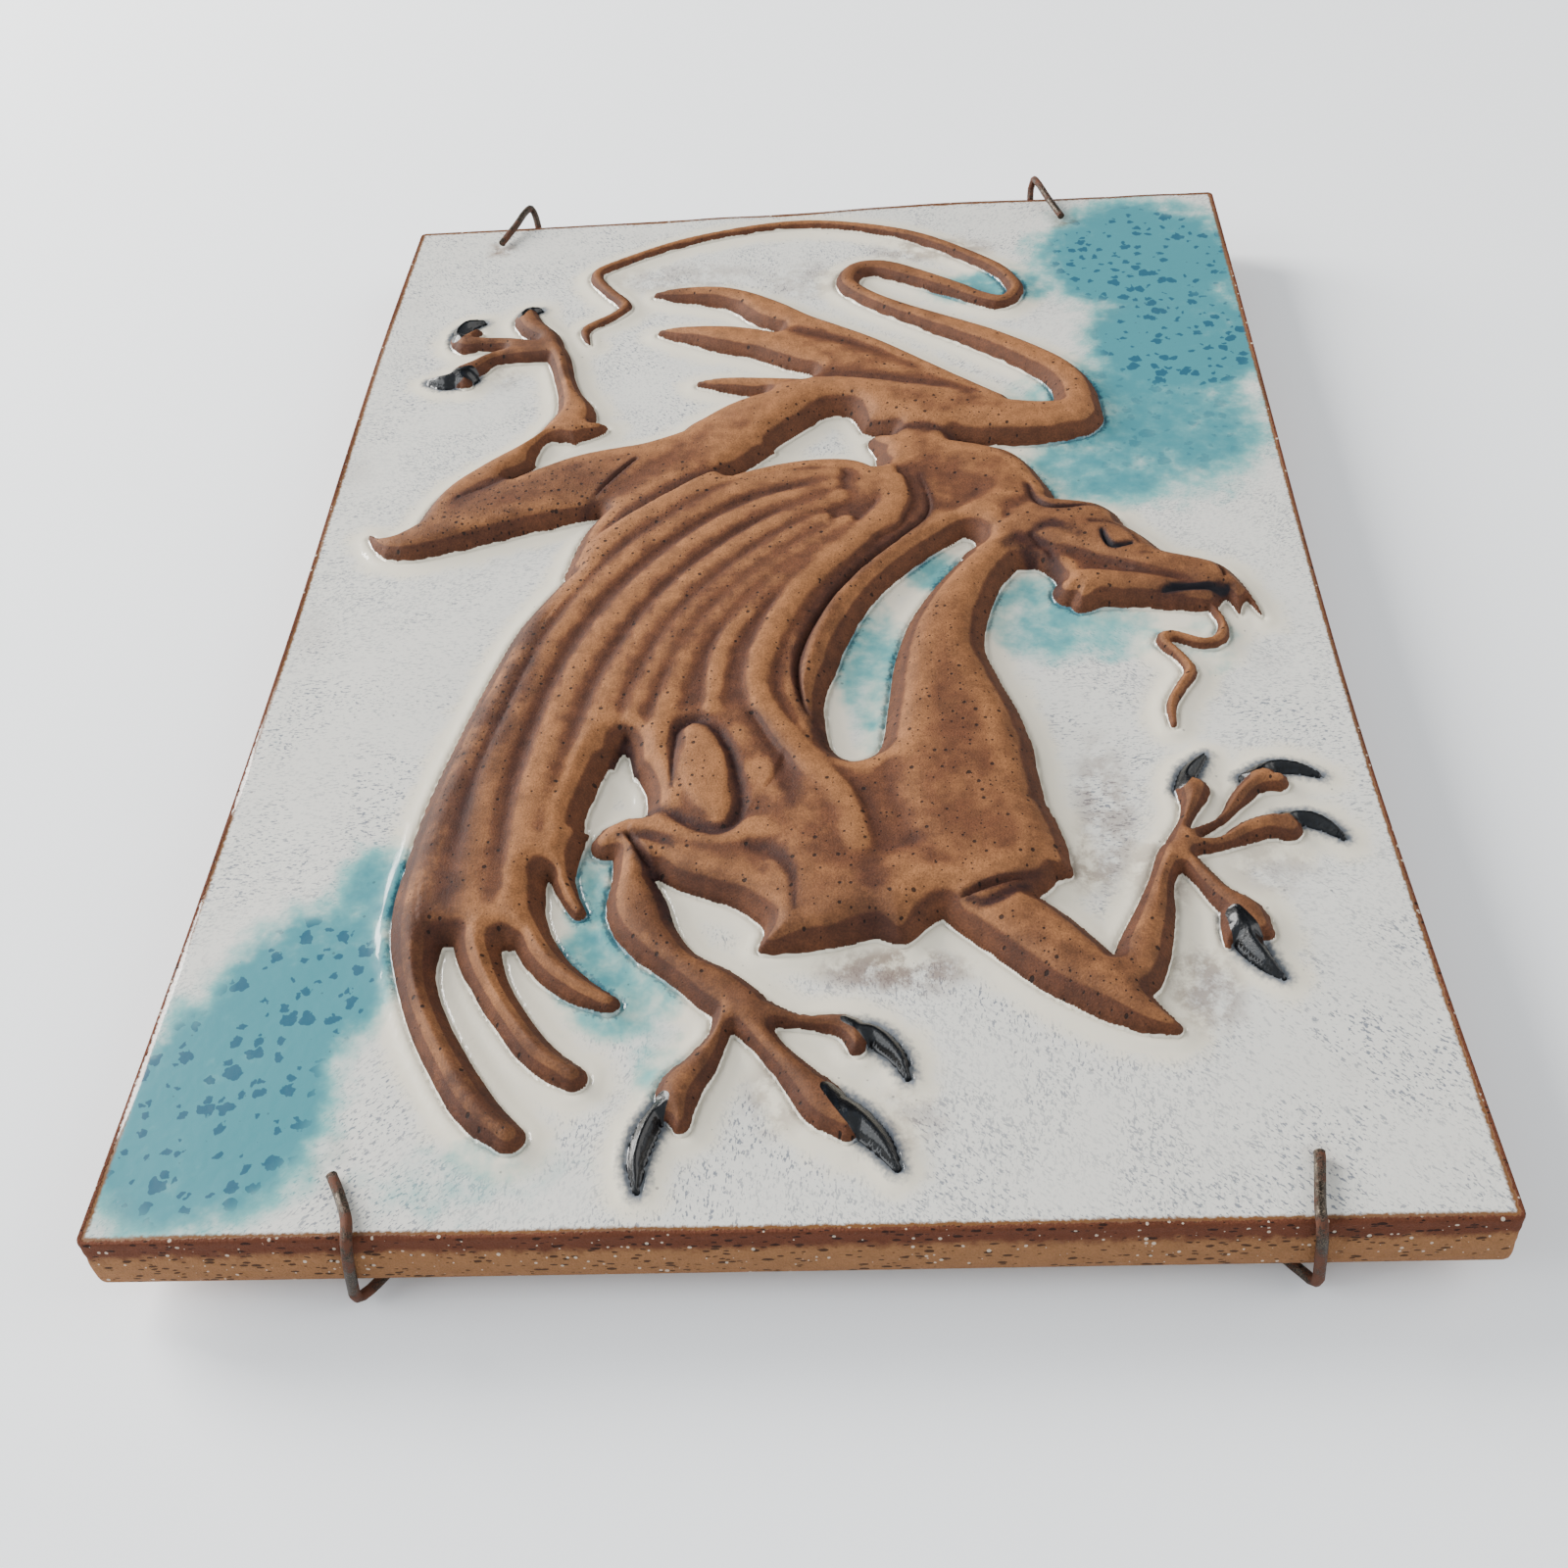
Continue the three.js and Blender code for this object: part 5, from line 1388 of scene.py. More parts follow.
@dataclass
class TensionSpring:
    """One close-wound spring with a hook at each end.

    Attributes:
        name: of the piece.
        tie: node that it stands for.
        x: its distance from the middle.
        low: height of the lower wire's spring bend.
        high: height of the upper wire's.
        radius: of its wire.
        coil: radius of its coil's centre line.
        hook: radius of its hooks' centre line.
        ends: length of each end that isn't coil.
        play: gap between one turn and the next.
    """

    name: str
    tie: str
    x: float
    low: float = LOWER_BENDS
    high: float = UPPER_BENDS
    radius: float = 0.6
    coil: float = 3.5
    hook: float = 2.0
    ends: float = 13.0
    play: float = 0.06

    def hook_path(self) -> np.ndarray:
        """One wire from hook to hook, up the coil's middle, in the row's frame.

        Returns:
            Places in the row's frame, in metres.
        """
        places = []
        for side, height in ((-1, self.low), (1, self.high)):
            grip = height - side * 3.0
            turn = []
            for t in np.linspace(0, 1, 15):
                angle = -0.2 * math.pi + t * 1.45 * math.pi
                out, up = self.hook * math.cos(angle), self.hook * math.sin(angle)
                turn.append((self.x, grip + side * up, out - WIRE_DEPTH))
            stem = [
                (self.x, grip - side * 4.2, -WIRE_DEPTH - 0.6),
                (self.x, height - side * (self.ends - 1), -WIRE_DEPTH),
            ]
            places.append(turn + stem)
        whole = places[0] + places[1][::-1]
        return to_row(*smooth_line([list(p) for p in whole], 0.5).T)

    def build(self, finish: "SteelFinish") -> bpy.types.Object:
        """Wind the spring, dress it and tie it to the frame.

        Args:
            finish: what it is covered with.

        Returns:
            The piece.
        """
        length = self.high - self.low - 2 * self.ends
        sizes = {
            "Wire Radius": self.radius * MILLIMETRE,
            "Coil Radius": self.coil * MILLIMETRE,
            "Coil Turns": round(length / (2 * self.radius + self.play)),
            "Coil Low": (self.low + self.ends - NAIL_HEIGHT) * MILLIMETRE,
            "Coil High": (self.high - self.ends - NAIL_HEIGHT) * MILLIMETRE,
            "Coil Across": self.x * MILLIMETRE,
            "Coil Depth": 0.0,
        }
        piece = PathTube().lay(self.name, self.hook_path(), sizes, finish.material())
        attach(piece, "root")
        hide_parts(self.tie)
        return piece


# ---------------------------------------------------------------- finishes
Colour = tuple[int, int, int]
Socket = bpy.types.NodeSocket
Feed = "bpy.types.NodeSocket | float | tuple"


def linear(colour: Colour, lift: float = 1.0) -> tuple[float, float, float, float]:
    """Turn a colour of 0 to 255 into the linear values that a shader takes.

    Args:
        colour: red, green and blue.
        lift: what they are multiplied by.

    Returns:
        Red, green, blue and an alpha of 1.
    """
    parts = []
    for part in colour:
        share = part / 255
        parts.append((share / 12.92 if share <= 0.04045 else ((share + 0.055) / 1.055) ** 2.4) * lift)
    return (parts[0], parts[1], parts[2], 1.0)


class Bench:
    """Adds and joins nodes in one tree."""

    def __init__(self, tree: bpy.types.NodeTree) -> None:
        """Work on the given tree."""
        self.tree = tree

    def add(self, kind: str, **settings: object) -> bpy.types.Node:
        """Add a node and set its own settings.

        Args:
            kind: the node's type.
            settings: its own settings, by name.

        Returns:
            The node.
        """
        node = self.tree.nodes.new(kind)
        for name, value in settings.items():
            setattr(node, name, value)
        return node

    def join(self, source: Socket, target: Socket) -> None:
        """Join two sockets."""
        self.tree.links.new(source, target)

    def feed(self, socket: Socket, value: Feed) -> None:
        """Join a socket to another, or set its value."""
        if isinstance(value, Socket):
            self.join(value, socket)
        else:
            socket.default_value = value

    def out(self, kind: str, inputs: dict, output: int | str = 0, **settings: object) -> Socket:
        """Add a node, feed its inputs and give one of its outputs.

        Args:
            kind: the node's type.
            inputs: what each input takes, by its number or name.
            output: which output is wanted.
            settings: the node's own settings.

        Returns:
            The output.
        """
        node = self.add(kind, **settings)
        for name, value in inputs.items():
            self.feed(node.inputs[name], value)
        return node.outputs[output]

    def sum(self, operation: str, a: Feed, b: Feed = 0.0, clamp: bool = False) -> Socket:
        """One step of arithmetic."""
        return self.out("ShaderNodeMath", {0: a, 1: b}, operation=operation, use_clamp=clamp)

    def times(self, a: Feed, b: Feed) -> Socket:
        """Product of two values."""
        return self.sum("MULTIPLY", a, b)

    def plus(self, a: Feed, b: Feed) -> Socket:
        """Sum of two values."""
        return self.sum("ADD", a, b)

    def less(self, a: Feed, b: Feed) -> Socket:
        """First value less the second."""
        return self.sum("SUBTRACT", a, b)

    def larger(self, a: Feed, b: Feed) -> Socket:
        """Larger of two values."""
        return self.sum("MAXIMUM", a, b)

    def swing(self, value: Feed, size: float) -> Socket:
        """Turn a field about 0.5 into one of the given size about 0."""
        return self.times(self.less(value, 0.5), size)

    def tint(self, mask: Feed, strength: float, colour: Feed, tint: Colour) -> Socket:
        """Lay a tint over a colour where a mask lets it."""
        return self.blend(self.times(mask, strength), colour, linear(tint))

    def step(self, value: Feed, low: float, high: float) -> Socket:
        """Smooth step from 0 at low to 1 at high, or the other way round where low is the larger.

        Args:
            value: what is compared.
            low: where the step is 0.
            high: where it is 1.

        Returns:
            The step.
        """
        ends = (low, high, 0.0, 1.0) if low < high else (high, low, 1.0, 0.0)
        inputs = dict(zip(("From Min", "From Max", "To Min", "To Max"), ends))
        return self.out("ShaderNodeMapRange", {"Value": value, **inputs}, interpolation_type="SMOOTHSTEP")

    def blend(self, share: Feed, a: Feed, b: Feed, way: str = "MIX") -> Socket:
        """Mix two colours."""
        settings = {"data_type": "RGBA", "blend_type": way, "clamp_factor": True}
        return self.out("ShaderNodeMix", {0: share, 6: a, 7: b}, 2, **settings)

    def between(self, share: Feed, a: Feed, b: Feed) -> Socket:
        """Mix two numbers."""
        return self.out("ShaderNodeMix", {0: share, 2: a, 3: b}, data_type="FLOAT", clamp_factor=True)

    def noise(self, vector: Feed, size: float, detail: float = 2.0, rough: float = 0.5) -> Socket:
        """Soft random field, about 0.5, with features of the given size in the vector's units."""
        inputs = {"Vector": vector, "Scale": 1 / size, "Detail": detail, "Roughness": rough}
        return self.out("ShaderNodeTexNoise", inputs)

    def shifted(self, vector: Feed, turn: float, stretch: Place, shift: Place = (0, 0, 0)) -> Socket:
        """Turn a vector about the face's normal, then stretch and shift it."""
        turned = self.out("ShaderNodeVectorRotate", {"Vector": vector, "Angle": turn}, rotation_type="Y_AXIS")
        return self.out("ShaderNodeVectorMath", {0: turned, 1: stretch, 2: shift}, operation="MULTIPLY_ADD")

    def value_of(self, name: str) -> Socket:
        """A field kept on the mesh."""
        return self.add("ShaderNodeAttribute", attribute_name=name).outputs["Fac"]

    def millimetres(self) -> Socket:
        """Object coordinates in millimetres."""
        place = self.out("ShaderNodeTexCoord", {}, "Object")
        return self.out("ShaderNodeVectorMath", {0: place, "Scale": 1000.0}, operation="SCALE")

    def flat(self, vector: Feed) -> Socket:
        """Places on the face as a flat map: across and up."""
        parts = self.out("ShaderNodeSeparateXYZ", {0: vector}).node.outputs
        return self.out("ShaderNodeCombineXYZ", {"X": parts["X"], "Y": parts["Z"]})

    def pits(
        self, vector: Feed, spacing: float, share: Feed, size: float, on_face: bool = True
    ) -> Socket:
        """Mask of small round pits.

        Args:
            vector: places in millimetres.
            spacing: about how far apart they may lie.
            share: share of the places that hold one.
            size: radius of the largest, as a share of the spacing.
            on_face: whether the vector is a flat map of the face.

        Returns:
            1 inside a pit, 0 outside.
        """
        cells = self.add("ShaderNodeTexVoronoi", feature="F1", voronoi_dimensions="2D" if on_face else "3D")
        self.feed(cells.inputs["Vector"], vector)
        cells.inputs["Scale"].default_value = 1 / spacing
        parts = self.add("ShaderNodeSeparateColor")
        self.join(cells.outputs["Color"], parts.inputs[0])
        chosen = self.sum("LESS_THAN", parts.outputs[0], share)
        spread = self.times(parts.outputs[1], parts.outputs[1])
        radius = self.sum("MULTIPLY_ADD", spread, size * 0.75)
        radius.node.inputs[2].default_value = size * 0.25
        gap = self.less(radius, cells.outputs["Distance"])
        return self.times(chosen, self.step(gap, -0.01, 0.03))


@dataclass(frozen=True)
class GrainEffect:
    """Shared effect: fine and coarse unevenness of a surface.

    Attributes:
        name: of the node group.
    """

    name: str = "surface_grain"

    def group(self) -> bpy.types.ShaderNodeTree:
        """Build the node group once.

        Returns:
            The group.
        """
        made = bpy.data.node_groups.get(self.name)
        if made:
            return made
        tree = bpy.data.node_groups.new(self.name, "ShaderNodeTree")
        face = tree.interface
        face.new_socket("Vector", in_out="INPUT", socket_type="NodeSocketVector")
        face.new_socket("Fine Scale", in_out="INPUT", socket_type="NodeSocketFloat")
        face.new_socket("Coarse Scale", in_out="INPUT", socket_type="NodeSocketFloat")
        face.new_socket("Fine", in_out="OUTPUT", socket_type="NodeSocketFloat")
        face.new_socket("Coarse", in_out="OUTPUT", socket_type="NodeSocketFloat")
        bench = Bench(tree)
        given = bench.add("NodeGroupInput")
        out = bench.add("NodeGroupOutput")
        for label, detail in (("Fine", 3.0), ("Coarse", 4.0)):
            node = bench.add("ShaderNodeTexNoise")
            node.inputs["Detail"].default_value = detail
            node.inputs["Roughness"].default_value = 0.6
            bench.join(given.outputs["Vector"], node.inputs["Vector"])
            bench.join(given.outputs[label + " Scale"], node.inputs["Scale"])
            bench.join(node.outputs[0], out.inputs[label])
        return tree

    def place(
        self, bench: Bench, vector: Feed, fine: float, coarse: float
    ) -> tuple[Socket, Socket]:
        """Place the group in a material, with features of the given sizes in millimetres.

        Args:
            bench: the material's bench.
            vector: places in millimetres.
            fine: size of the fine grain.
            coarse: size of the coarse grain.

        Returns:
            The fine and the coarse field.
        """
        node = bench.add("ShaderNodeGroup", node_tree=self.group())
        bench.feed(node.inputs["Vector"], vector)
        node.inputs["Fine Scale"].default_value = 1 / fine
        node.inputs["Coarse Scale"].default_value = 1 / coarse
        return node.outputs["Fine"], node.outputs["Coarse"]


def new_material(name: str) -> tuple[bpy.types.Material, Bench, bpy.types.Node]:
    """Start a material that holds one Principled shader.

    Args:
        name: of the material.

    Returns:
        The material, its bench and its shader.
    """
    material = bpy.data.materials.new(name)
    material.use_nodes = True
    material.node_tree.nodes.clear()
    bench = Bench(material.node_tree)
    shader = bench.add("ShaderNodeBsdfPrincipled")
    out = bench.add("ShaderNodeOutputMaterial")
    bench.join(shader.outputs[0], out.inputs["Surface"])
    return material, bench, shader


@dataclass(frozen=True)
class StonewareFinish:
    """Bare oxide-washed clay, glazed ground, glossy claws and rough sides of the tile.

    Attributes:
        pit_spacing: about how far apart the clay's larger pits may lie.
        pit_size: radius of the largest of them, as a share of the spacing.
        small_pit: the same two numbers for the smaller pits.
        grain_sizes: sizes of the fine and the coarse grain.
        cloud_size: size of the glaze's slow unevenness.
        warm_size: size of its quicker unevenness.
        bleed_size: size of the bays along a bleeding edge.
        dash_size: size of the glaze's short dashes.
        dash_stretch: how far the dashes' field is drawn out each way.
        fleck: spacing, share and size of the deep turquoise flecks.
        fleck_drift: how far the flecks' places are pulled about.
        wet_strength: how strongly each turquoise covers, light then full.
        figure_edge: distances inside the outline between which glaze gives way to clay.
        claw_edge: distances inside a claw's outline between which clay gives way to its black.
        ochre_rim: distances from the face's edge between which the ochre line fades in.
        bare_rim: distances between which the glaze gives way to bare clay.
        coat_shares: the clear coat's weight on the glaze and on the claws.
        coat_rough: its roughness.
        clay_rough: roughness of the clay at its smoothest and its roughest.
        glossy_rough: roughness under the clear coat.
        side_rough: roughness of the sides and the back.
        specular: how much the body reflects.
        ink: colour of the black gloss in the eye and the mouth.
    """

    clay: Colour = (88, 52, 32)
    clay_painted_light: Colour = (133, 87, 53)
    clay_dark_and_edge_shade: Colour = (60, 33, 23)
    stain: Colour = (36, 16, 18)
    pit: Colour = (20, 9, 6)
    white: Colour = (211, 208, 200)
    cream: Colour = (222, 212, 190)
    streak: Colour = (78, 88, 106)
    mauve: Colour = (108, 84, 72)
    turquoise_light: Colour = (98, 164, 162)
    turquoise: Colour = (56, 122, 132)
    turquoise_deep: Colour = (8, 52, 84)
    claw: Colour = (3, 4, 6)
    claw_light: Colour = (12, 20, 30)
    ochre: Colour = (108, 72, 42)
    side_dark: Colour = (92, 50, 32)
    side_tan: Colour = (138, 96, 62)
    back: Colour = (160, 120, 86)
    grain: Colour = (220, 205, 185)
    ink: Colour = (20, 18, 24)
    pit_spacing: float = 2.6
    pit_size: float = 0.21
    small_pit: tuple[float, float] = (1.3, 0.24)
    grain_sizes: tuple[float, float] = (0.45, 3.5)
    cloud_size: float = 22.0
    warm_size: float = 5.0
    bleed_size: float = 1.1
    dash_size: float = 0.62
    dash_stretch: Place = (0.5, 1.0, 1.3)
    fleck: Place = (4.4, 0.8, 0.5)
    fleck_drift: float = 3.4
    wet_strength: tuple[float, float] = (0.93, 0.9)
    figure_edge: tuple[float, float] = (0.24, 0.32)
    claw_edge: tuple[float, float] = (-0.16, -0.02)
    ochre_rim: tuple[float, float] = (1.7, 0.9)
    bare_rim: tuple[float, float] = (0.7, 0.25)
    coat_shares: tuple[float, float] = (0.85, 0.35)
    coat_rough: float = 0.06
    clay_rough: tuple[float, float] = (0.6, 0.8)
    glossy_rough: float = 0.3
    side_rough: float = 0.85
    specular: float = 0.2

    def clay_colour(self, bench: Bench, place: Feed, fine: Feed, coarse: Feed, shore: Feed) -> tuple:
        """Colour and height of the bare clay figure, with painted light on its crests and painted shade along
        its outline.

        Args:
            bench: the material's bench.
            place: places in millimetres.
            fine: fine grain.
            coarse: coarse mottle.
            shore: distance inside the figure.

        Returns:
            The colour and the mask of the pits.
        """
        crest = bench.value_of("crest")
        wash = bench.noise(place, 9.0, 3.0, 0.6)
        # Painted light: raised crests take the lighter clay, broken up by the wash's random tone.
        lit = bench.step(bench.plus(crest, bench.less(wash, 0.5)), -0.12, 0.42)
        colour = bench.blend(lit, linear(self.clay), linear(self.clay_painted_light))
        # Painted shade: the clay darkens within a few millimetres of the figure's outline, on top of its own
        # darker patches.
        near = bench.step(shore, 3.2, 0.4)
        dark = bench.larger(bench.value_of("dark"), bench.times(near, 0.3))
        dark = bench.times(dark, bench.step(wash, 0.2, 0.6))
        colour = bench.tint(dark, 0.9, colour, self.clay_dark_and_edge_shade)
        valley = bench.step(crest, -0.08, -0.5)
        smear = bench.step(bench.noise(place, 2.2, 3.0, 0.7), 0.28, 0.55)
        valley = bench.times(valley, bench.step(shore, 1.5, 5.0))
        stain = bench.larger(bench.value_of("stain"), bench.times(valley, 0.55))
        stain = bench.times(stain, bench.between(smear, 0.55, 1.0))
        colour = bench.tint(stain, 0.88, colour, self.stain)
        tone = bench.between(bench.step(fine, 0.3, 0.7), 0.76, 1.24)
        tone = bench.times(tone, bench.between(bench.step(coarse, 0.3, 0.7), 0.82, 1.2))
        colour = bench.blend(1.0, colour, self.grey(bench, tone), "MULTIPLY")
        speck = bench.value_of("speck")
        share = bench.between(speck, 0.2, 0.95)
        pits = bench.pits(bench.flat(place), self.pit_spacing, share, self.pit_size)
        spacing, size = self.small_pit
        small = bench.pits(bench.flat(place), spacing, bench.between(speck, 0.1, 0.5), size)
        holes = bench.larger(pits, small)
        return bench.tint(holes, 0.85, colour, self.pit), holes

    def grey(self, bench: Bench, tone: Feed) -> Socket:
        """A grey of the given tone, as a colour."""
        return bench.out("ShaderNodeCombineColor", dict.fromkeys(range(3), tone))

    def streaks(self, bench: Bench, place: Feed) -> Socket:
        """Short dashes that run away from the figure, whichever way that is.

        Args:
            bench: the material's bench.
            place: places in millimetres.

        Returns:
            The dashes' mask.
        """
        level = bench.value_of("flow_level")
        slant = bench.value_of("flow_slant")
        total = None
        for number in range(4):
            turn = number * math.pi / 4
            along = bench.times(level, math.cos(2 * turn))
            across = bench.times(slant, math.sin(2 * turn))
            weight = bench.sum("ADD", along, across, clamp=True)
            drawn = bench.shifted(place, turn, self.dash_stretch, (number * 31, 0, 0))
            dashes = bench.noise(drawn, self.dash_size, 2.0, 0.6)
            part = bench.times(weight, bench.step(dashes, 0.56, 0.62))
            total = part if total is None else bench.larger(total, part)
        return total

    def glaze_colour(self, bench: Bench, place: Feed, shore: Feed) -> Socket:
        """Colour of the glazed ground.

        Args:
            bench: the material's bench.
            place: places in millimetres.
            shore: distance inside the figure, negative over the glaze.

        Returns:
            The colour.
        """
        cloud = bench.noise(place, self.cloud_size, 3.0, 0.55)
        warm = bench.noise(place, self.warm_size, 3.0, 0.6)
        halo = bench.step(bench.plus(shore, bench.swing(warm, 7.0)), -8.5, -3.0)
        colour = bench.blend(bench.times(halo, 0.85), linear(self.white), linear(self.cream))
        dashes = self.streaks(bench, place)
        open_ground = bench.step(shore, -3.5, -7.5)
        cover = bench.times(open_ground, bench.between(bench.step(cloud, 0.36, 0.6), 0.3, 1.0))
        cover = bench.larger(cover, bench.times(bench.step(bench.value_of("rim"), 7.0, 1.0), 0.9))
        colour = bench.tint(bench.times(dashes, cover), 0.8, colour, self.streak)
        blotch = bench.noise(place, 6.0, 5.0, 0.7)
        mauve = bench.times(bench.value_of("mauve"), bench.step(blotch, 0.38, 0.58))
        colour = bench.tint(mauve, 0.85, colour, self.mauve)
        teal = bench.value_of("teal")
        uneven = bench.less(bench.plus(bench.times(warm, 0.8), cloud), 0.9)
        wet = bench.step(bench.plus(teal, uneven), 0.2, 0.85)
        colour = bench.tint(wet, self.wet_strength[0], colour, self.turquoise_light)
        deep = bench.step(bench.plus(teal, bench.times(uneven, 0.5)), 0.62, 0.95)
        colour = bench.tint(deep, self.wet_strength[1], colour, self.turquoise)
        drift = bench.add("ShaderNodeTexNoise")
        drift.inputs["Scale"].default_value = 0.5
        bench.feed(drift.inputs["Vector"], place)
        moved = bench.add("ShaderNodeVectorMath", operation="MULTIPLY_ADD")
        bench.join(drift.outputs["Color"], moved.inputs[0])
        moved.inputs[1].default_value = (self.fleck_drift, self.fleck_drift, 0.0)
        bench.join(bench.flat(place), moved.inputs[2])
        spots = bench.pits(moved.outputs[0], *self.fleck)
        spots = bench.times(spots, bench.step(teal, 0.75, 1.0))
        bleed = bench.noise(place, self.bleed_size, 2.0, 0.6)
        reach = bench.plus(shore, bench.swing(bleed, 5.0))
        edge = bench.step(reach, -1.3, -0.3)
        inked = bench.times(wet, bench.larger(spots, bench.times(edge, 0.8)))
        colour = bench.tint(inked, 0.7, colour, self.turquoise_deep)
        claw = bench.plus(bench.value_of("claw"), bench.swing(bleed, 3.0))
        colour = bench.tint(bench.step(claw, -3.0, -0.2), 0.8, colour, self.turquoise_deep)
        dots = bench.pits(bench.flat(place), 5.0, 0.22, 0.08)
        colour = bench.blend(bench.times(dots, 0.5), colour, linear(self.streak, 0.4))
        rust = bench.times(bench.value_of("rust"), bench.step(warm, 0.35, 0.6))
        return bench.tint(rust, 0.8, colour, self.ochre)

    def side_colour(self, bench: Bench, place: Feed, depth: Feed, fine: Feed, coarse: Feed) -> tuple:
        """Colour and pits of the slab's sides and back.

        Args:
            bench: the material's bench.
            place: places in millimetres.
            depth: depth below the face.
            fine: fine grain.
            coarse: coarse mottle.

        Returns:
            The colour and the mask of the pits.
        """
        level = bench.plus(depth, bench.swing(coarse, 5.0))
        colour = bench.blend(bench.step(level, 3.2, 6.0), linear(self.side_dark), linear(self.side_tan))
        colour = bench.blend(bench.step(depth, 13.7, 13.95), colour, linear(self.back))
        tone = bench.times(bench.between(fine, 0.65, 1.35), bench.between(coarse, 0.8, 1.2))
        colour = bench.blend(1.0, colour, self.grey(bench, tone), "MULTIPLY")
        holes = bench.pits(bench.shifted(place, 0.0, (0.45, 1.2, 1.0)), 1.0, 0.7, 0.5, False)
        grains = bench.pits(bench.shifted(place, 0.0, (1, 1, 1), (40, 7, 3)), 1.3, 0.3, 0.36, False)
        colour = bench.tint(holes, 0.8, colour, self.pit)
        return bench.tint(grains, 0.6, colour, self.grain), holes

    def material(self) -> bpy.types.Material:
        """Build the tile's material.

        Returns:
            The material.
        """
        material, bench, shader = new_material("stoneware")
        place = bench.millimetres()
        fine, coarse = GrainEffect().place(bench, place, *self.grain_sizes)
        parts = bench.add("ShaderNodeSeparateXYZ")
        bench.join(place, parts.inputs[0])
        depth = bench.plus(parts.outputs["Y"], WIRE_DEPTH)
        wobble = bench.swing(bench.noise(place, 0.8, 2.0), 0.5)
        shore = bench.value_of("shore")
        climb = bench.swing(bench.noise(place, 5.0, 1.0), 0.5)
        figure = bench.step(bench.plus(shore, climb), *self.figure_edge)
        clay, pits = self.clay_colour(bench, place, fine, coarse, shore)
        glaze = self.glaze_colour(bench, place, shore)
        side, holes = self.side_colour(bench, place, depth, fine, coarse)
        colour = bench.blend(figure, glaze, clay)
        claw = bench.step(bench.value_of("claw"), *self.claw_edge)
        sheen = bench.step(bench.noise(place, 1.4, 3.0), 0.5, 0.75)
        talon = bench.blend(bench.times(sheen, 0.6), linear(self.claw), linear(self.claw_light))
        colour = bench.blend(claw, colour, talon)
        ink = bench.value_of("gloss")
        colour = bench.blend(ink, colour, linear(self.ink))
        rim = bench.plus(bench.value_of("rim"), bench.times(wobble, 2.2))
        line = bench.times(bench.step(rim, *self.ochre_rim), bench.less(1.0, figure))
        colour = bench.blend(line, colour, linear(self.ochre))
        bare = bench.step(rim, *self.bare_rim)
        colour = bench.blend(bare, colour, side)
        below = bench.step(depth, 0.2, 0.7)
        colour = bench.blend(below, colour, side)
        bench.join(colour, shader.inputs["Base Color"])
        edge_free = bench.times(bench.less(1.0, bare), bench.less(1.0, below))
        glossy = bench.larger(claw, bench.less(1.0, figure))
        coat = bench.times(glossy, bench.between(claw, *self.coat_shares))
        bench.join(bench.times(coat, edge_free), shader.inputs["Coat Weight"])
        rough = bench.between(glossy, bench.between(fine, *self.clay_rough), self.glossy_rough)
        rough = bench.between(edge_free, self.side_rough, rough)
        bench.join(rough, shader.inputs["Roughness"])
        clay_height = bench.less(bench.times(fine, 0.16), bench.times(pits, 0.3))
        peel = bench.times(bench.noise(place, 2.4, 1.0), 0.05)
        height = bench.between(figure, peel, clay_height)
        rugged = bench.less(bench.times(fine, 0.5), bench.times(holes, 0.5))
        height = bench.between(edge_free, rugged, height)
        bump = bench.add("ShaderNodeBump")
        bump.inputs["Strength"].default_value = 1.0
        bump.inputs["Distance"].default_value = MILLIMETRE
        bench.join(height, bump.inputs["Height"])
        bench.join(bump.outputs["Normal"], shader.inputs["Normal"])
        shader.inputs["Specular IOR Level"].default_value = self.specular
        shader.inputs["Coat Roughness"].default_value = self.coat_rough
        return material


@dataclass(frozen=True)
class SteelFinish:
    """Drawn steel wire, dulled and rusting where it is worn.

    Attributes:
        name: of the material.
        rust_share: how much of the wire has rusted, from 0 to 1.
    """

    name: str
    steel: Colour = (52, 46, 40)
    worn: Colour = (110, 98, 84)
    rust: Colour = (84, 46, 26)
    rust_share: float = 0.5

    def material(self) -> bpy.types.Material:
        """Build the wire's material once.

        Returns:
            The material.
        """
        made = bpy.data.materials.get(self.name)
        if made:
            return made
        material, bench, shader = new_material(self.name)
        place = bench.millimetres()
        fine, coarse = GrainEffect().place(bench, place, 0.3, 5.0)
        colour = bench.blend(bench.step(fine, 0.45, 0.7), linear(self.steel), linear(self.worn))
        mottle = bench.plus(bench.times(coarse, 0.7), bench.times(fine, 0.3))
        start = 0.62 - 0.2 * self.rust_share
        rusty = bench.step(mottle, start, start + 0.1)
        colour = bench.blend(rusty, colour, linear(self.rust))
        bench.join(colour, shader.inputs["Base Color"])
        bench.join(bench.between(rusty, 0.9, 0.2), shader.inputs["Metallic"])
        bench.join(bench.between(rusty, bench.between(fine, 0.3, 0.5), 0.8), shader.inputs["Roughness"])
        bump = bench.add("ShaderNodeBump")
        bump.inputs["Distance"].default_value = 0.1 * MILLIMETRE
        bench.join(bench.plus(fine, rusty), bump.inputs["Height"])
        bench.join(bump.outputs["Normal"], shader.inputs["Normal"])
        return material


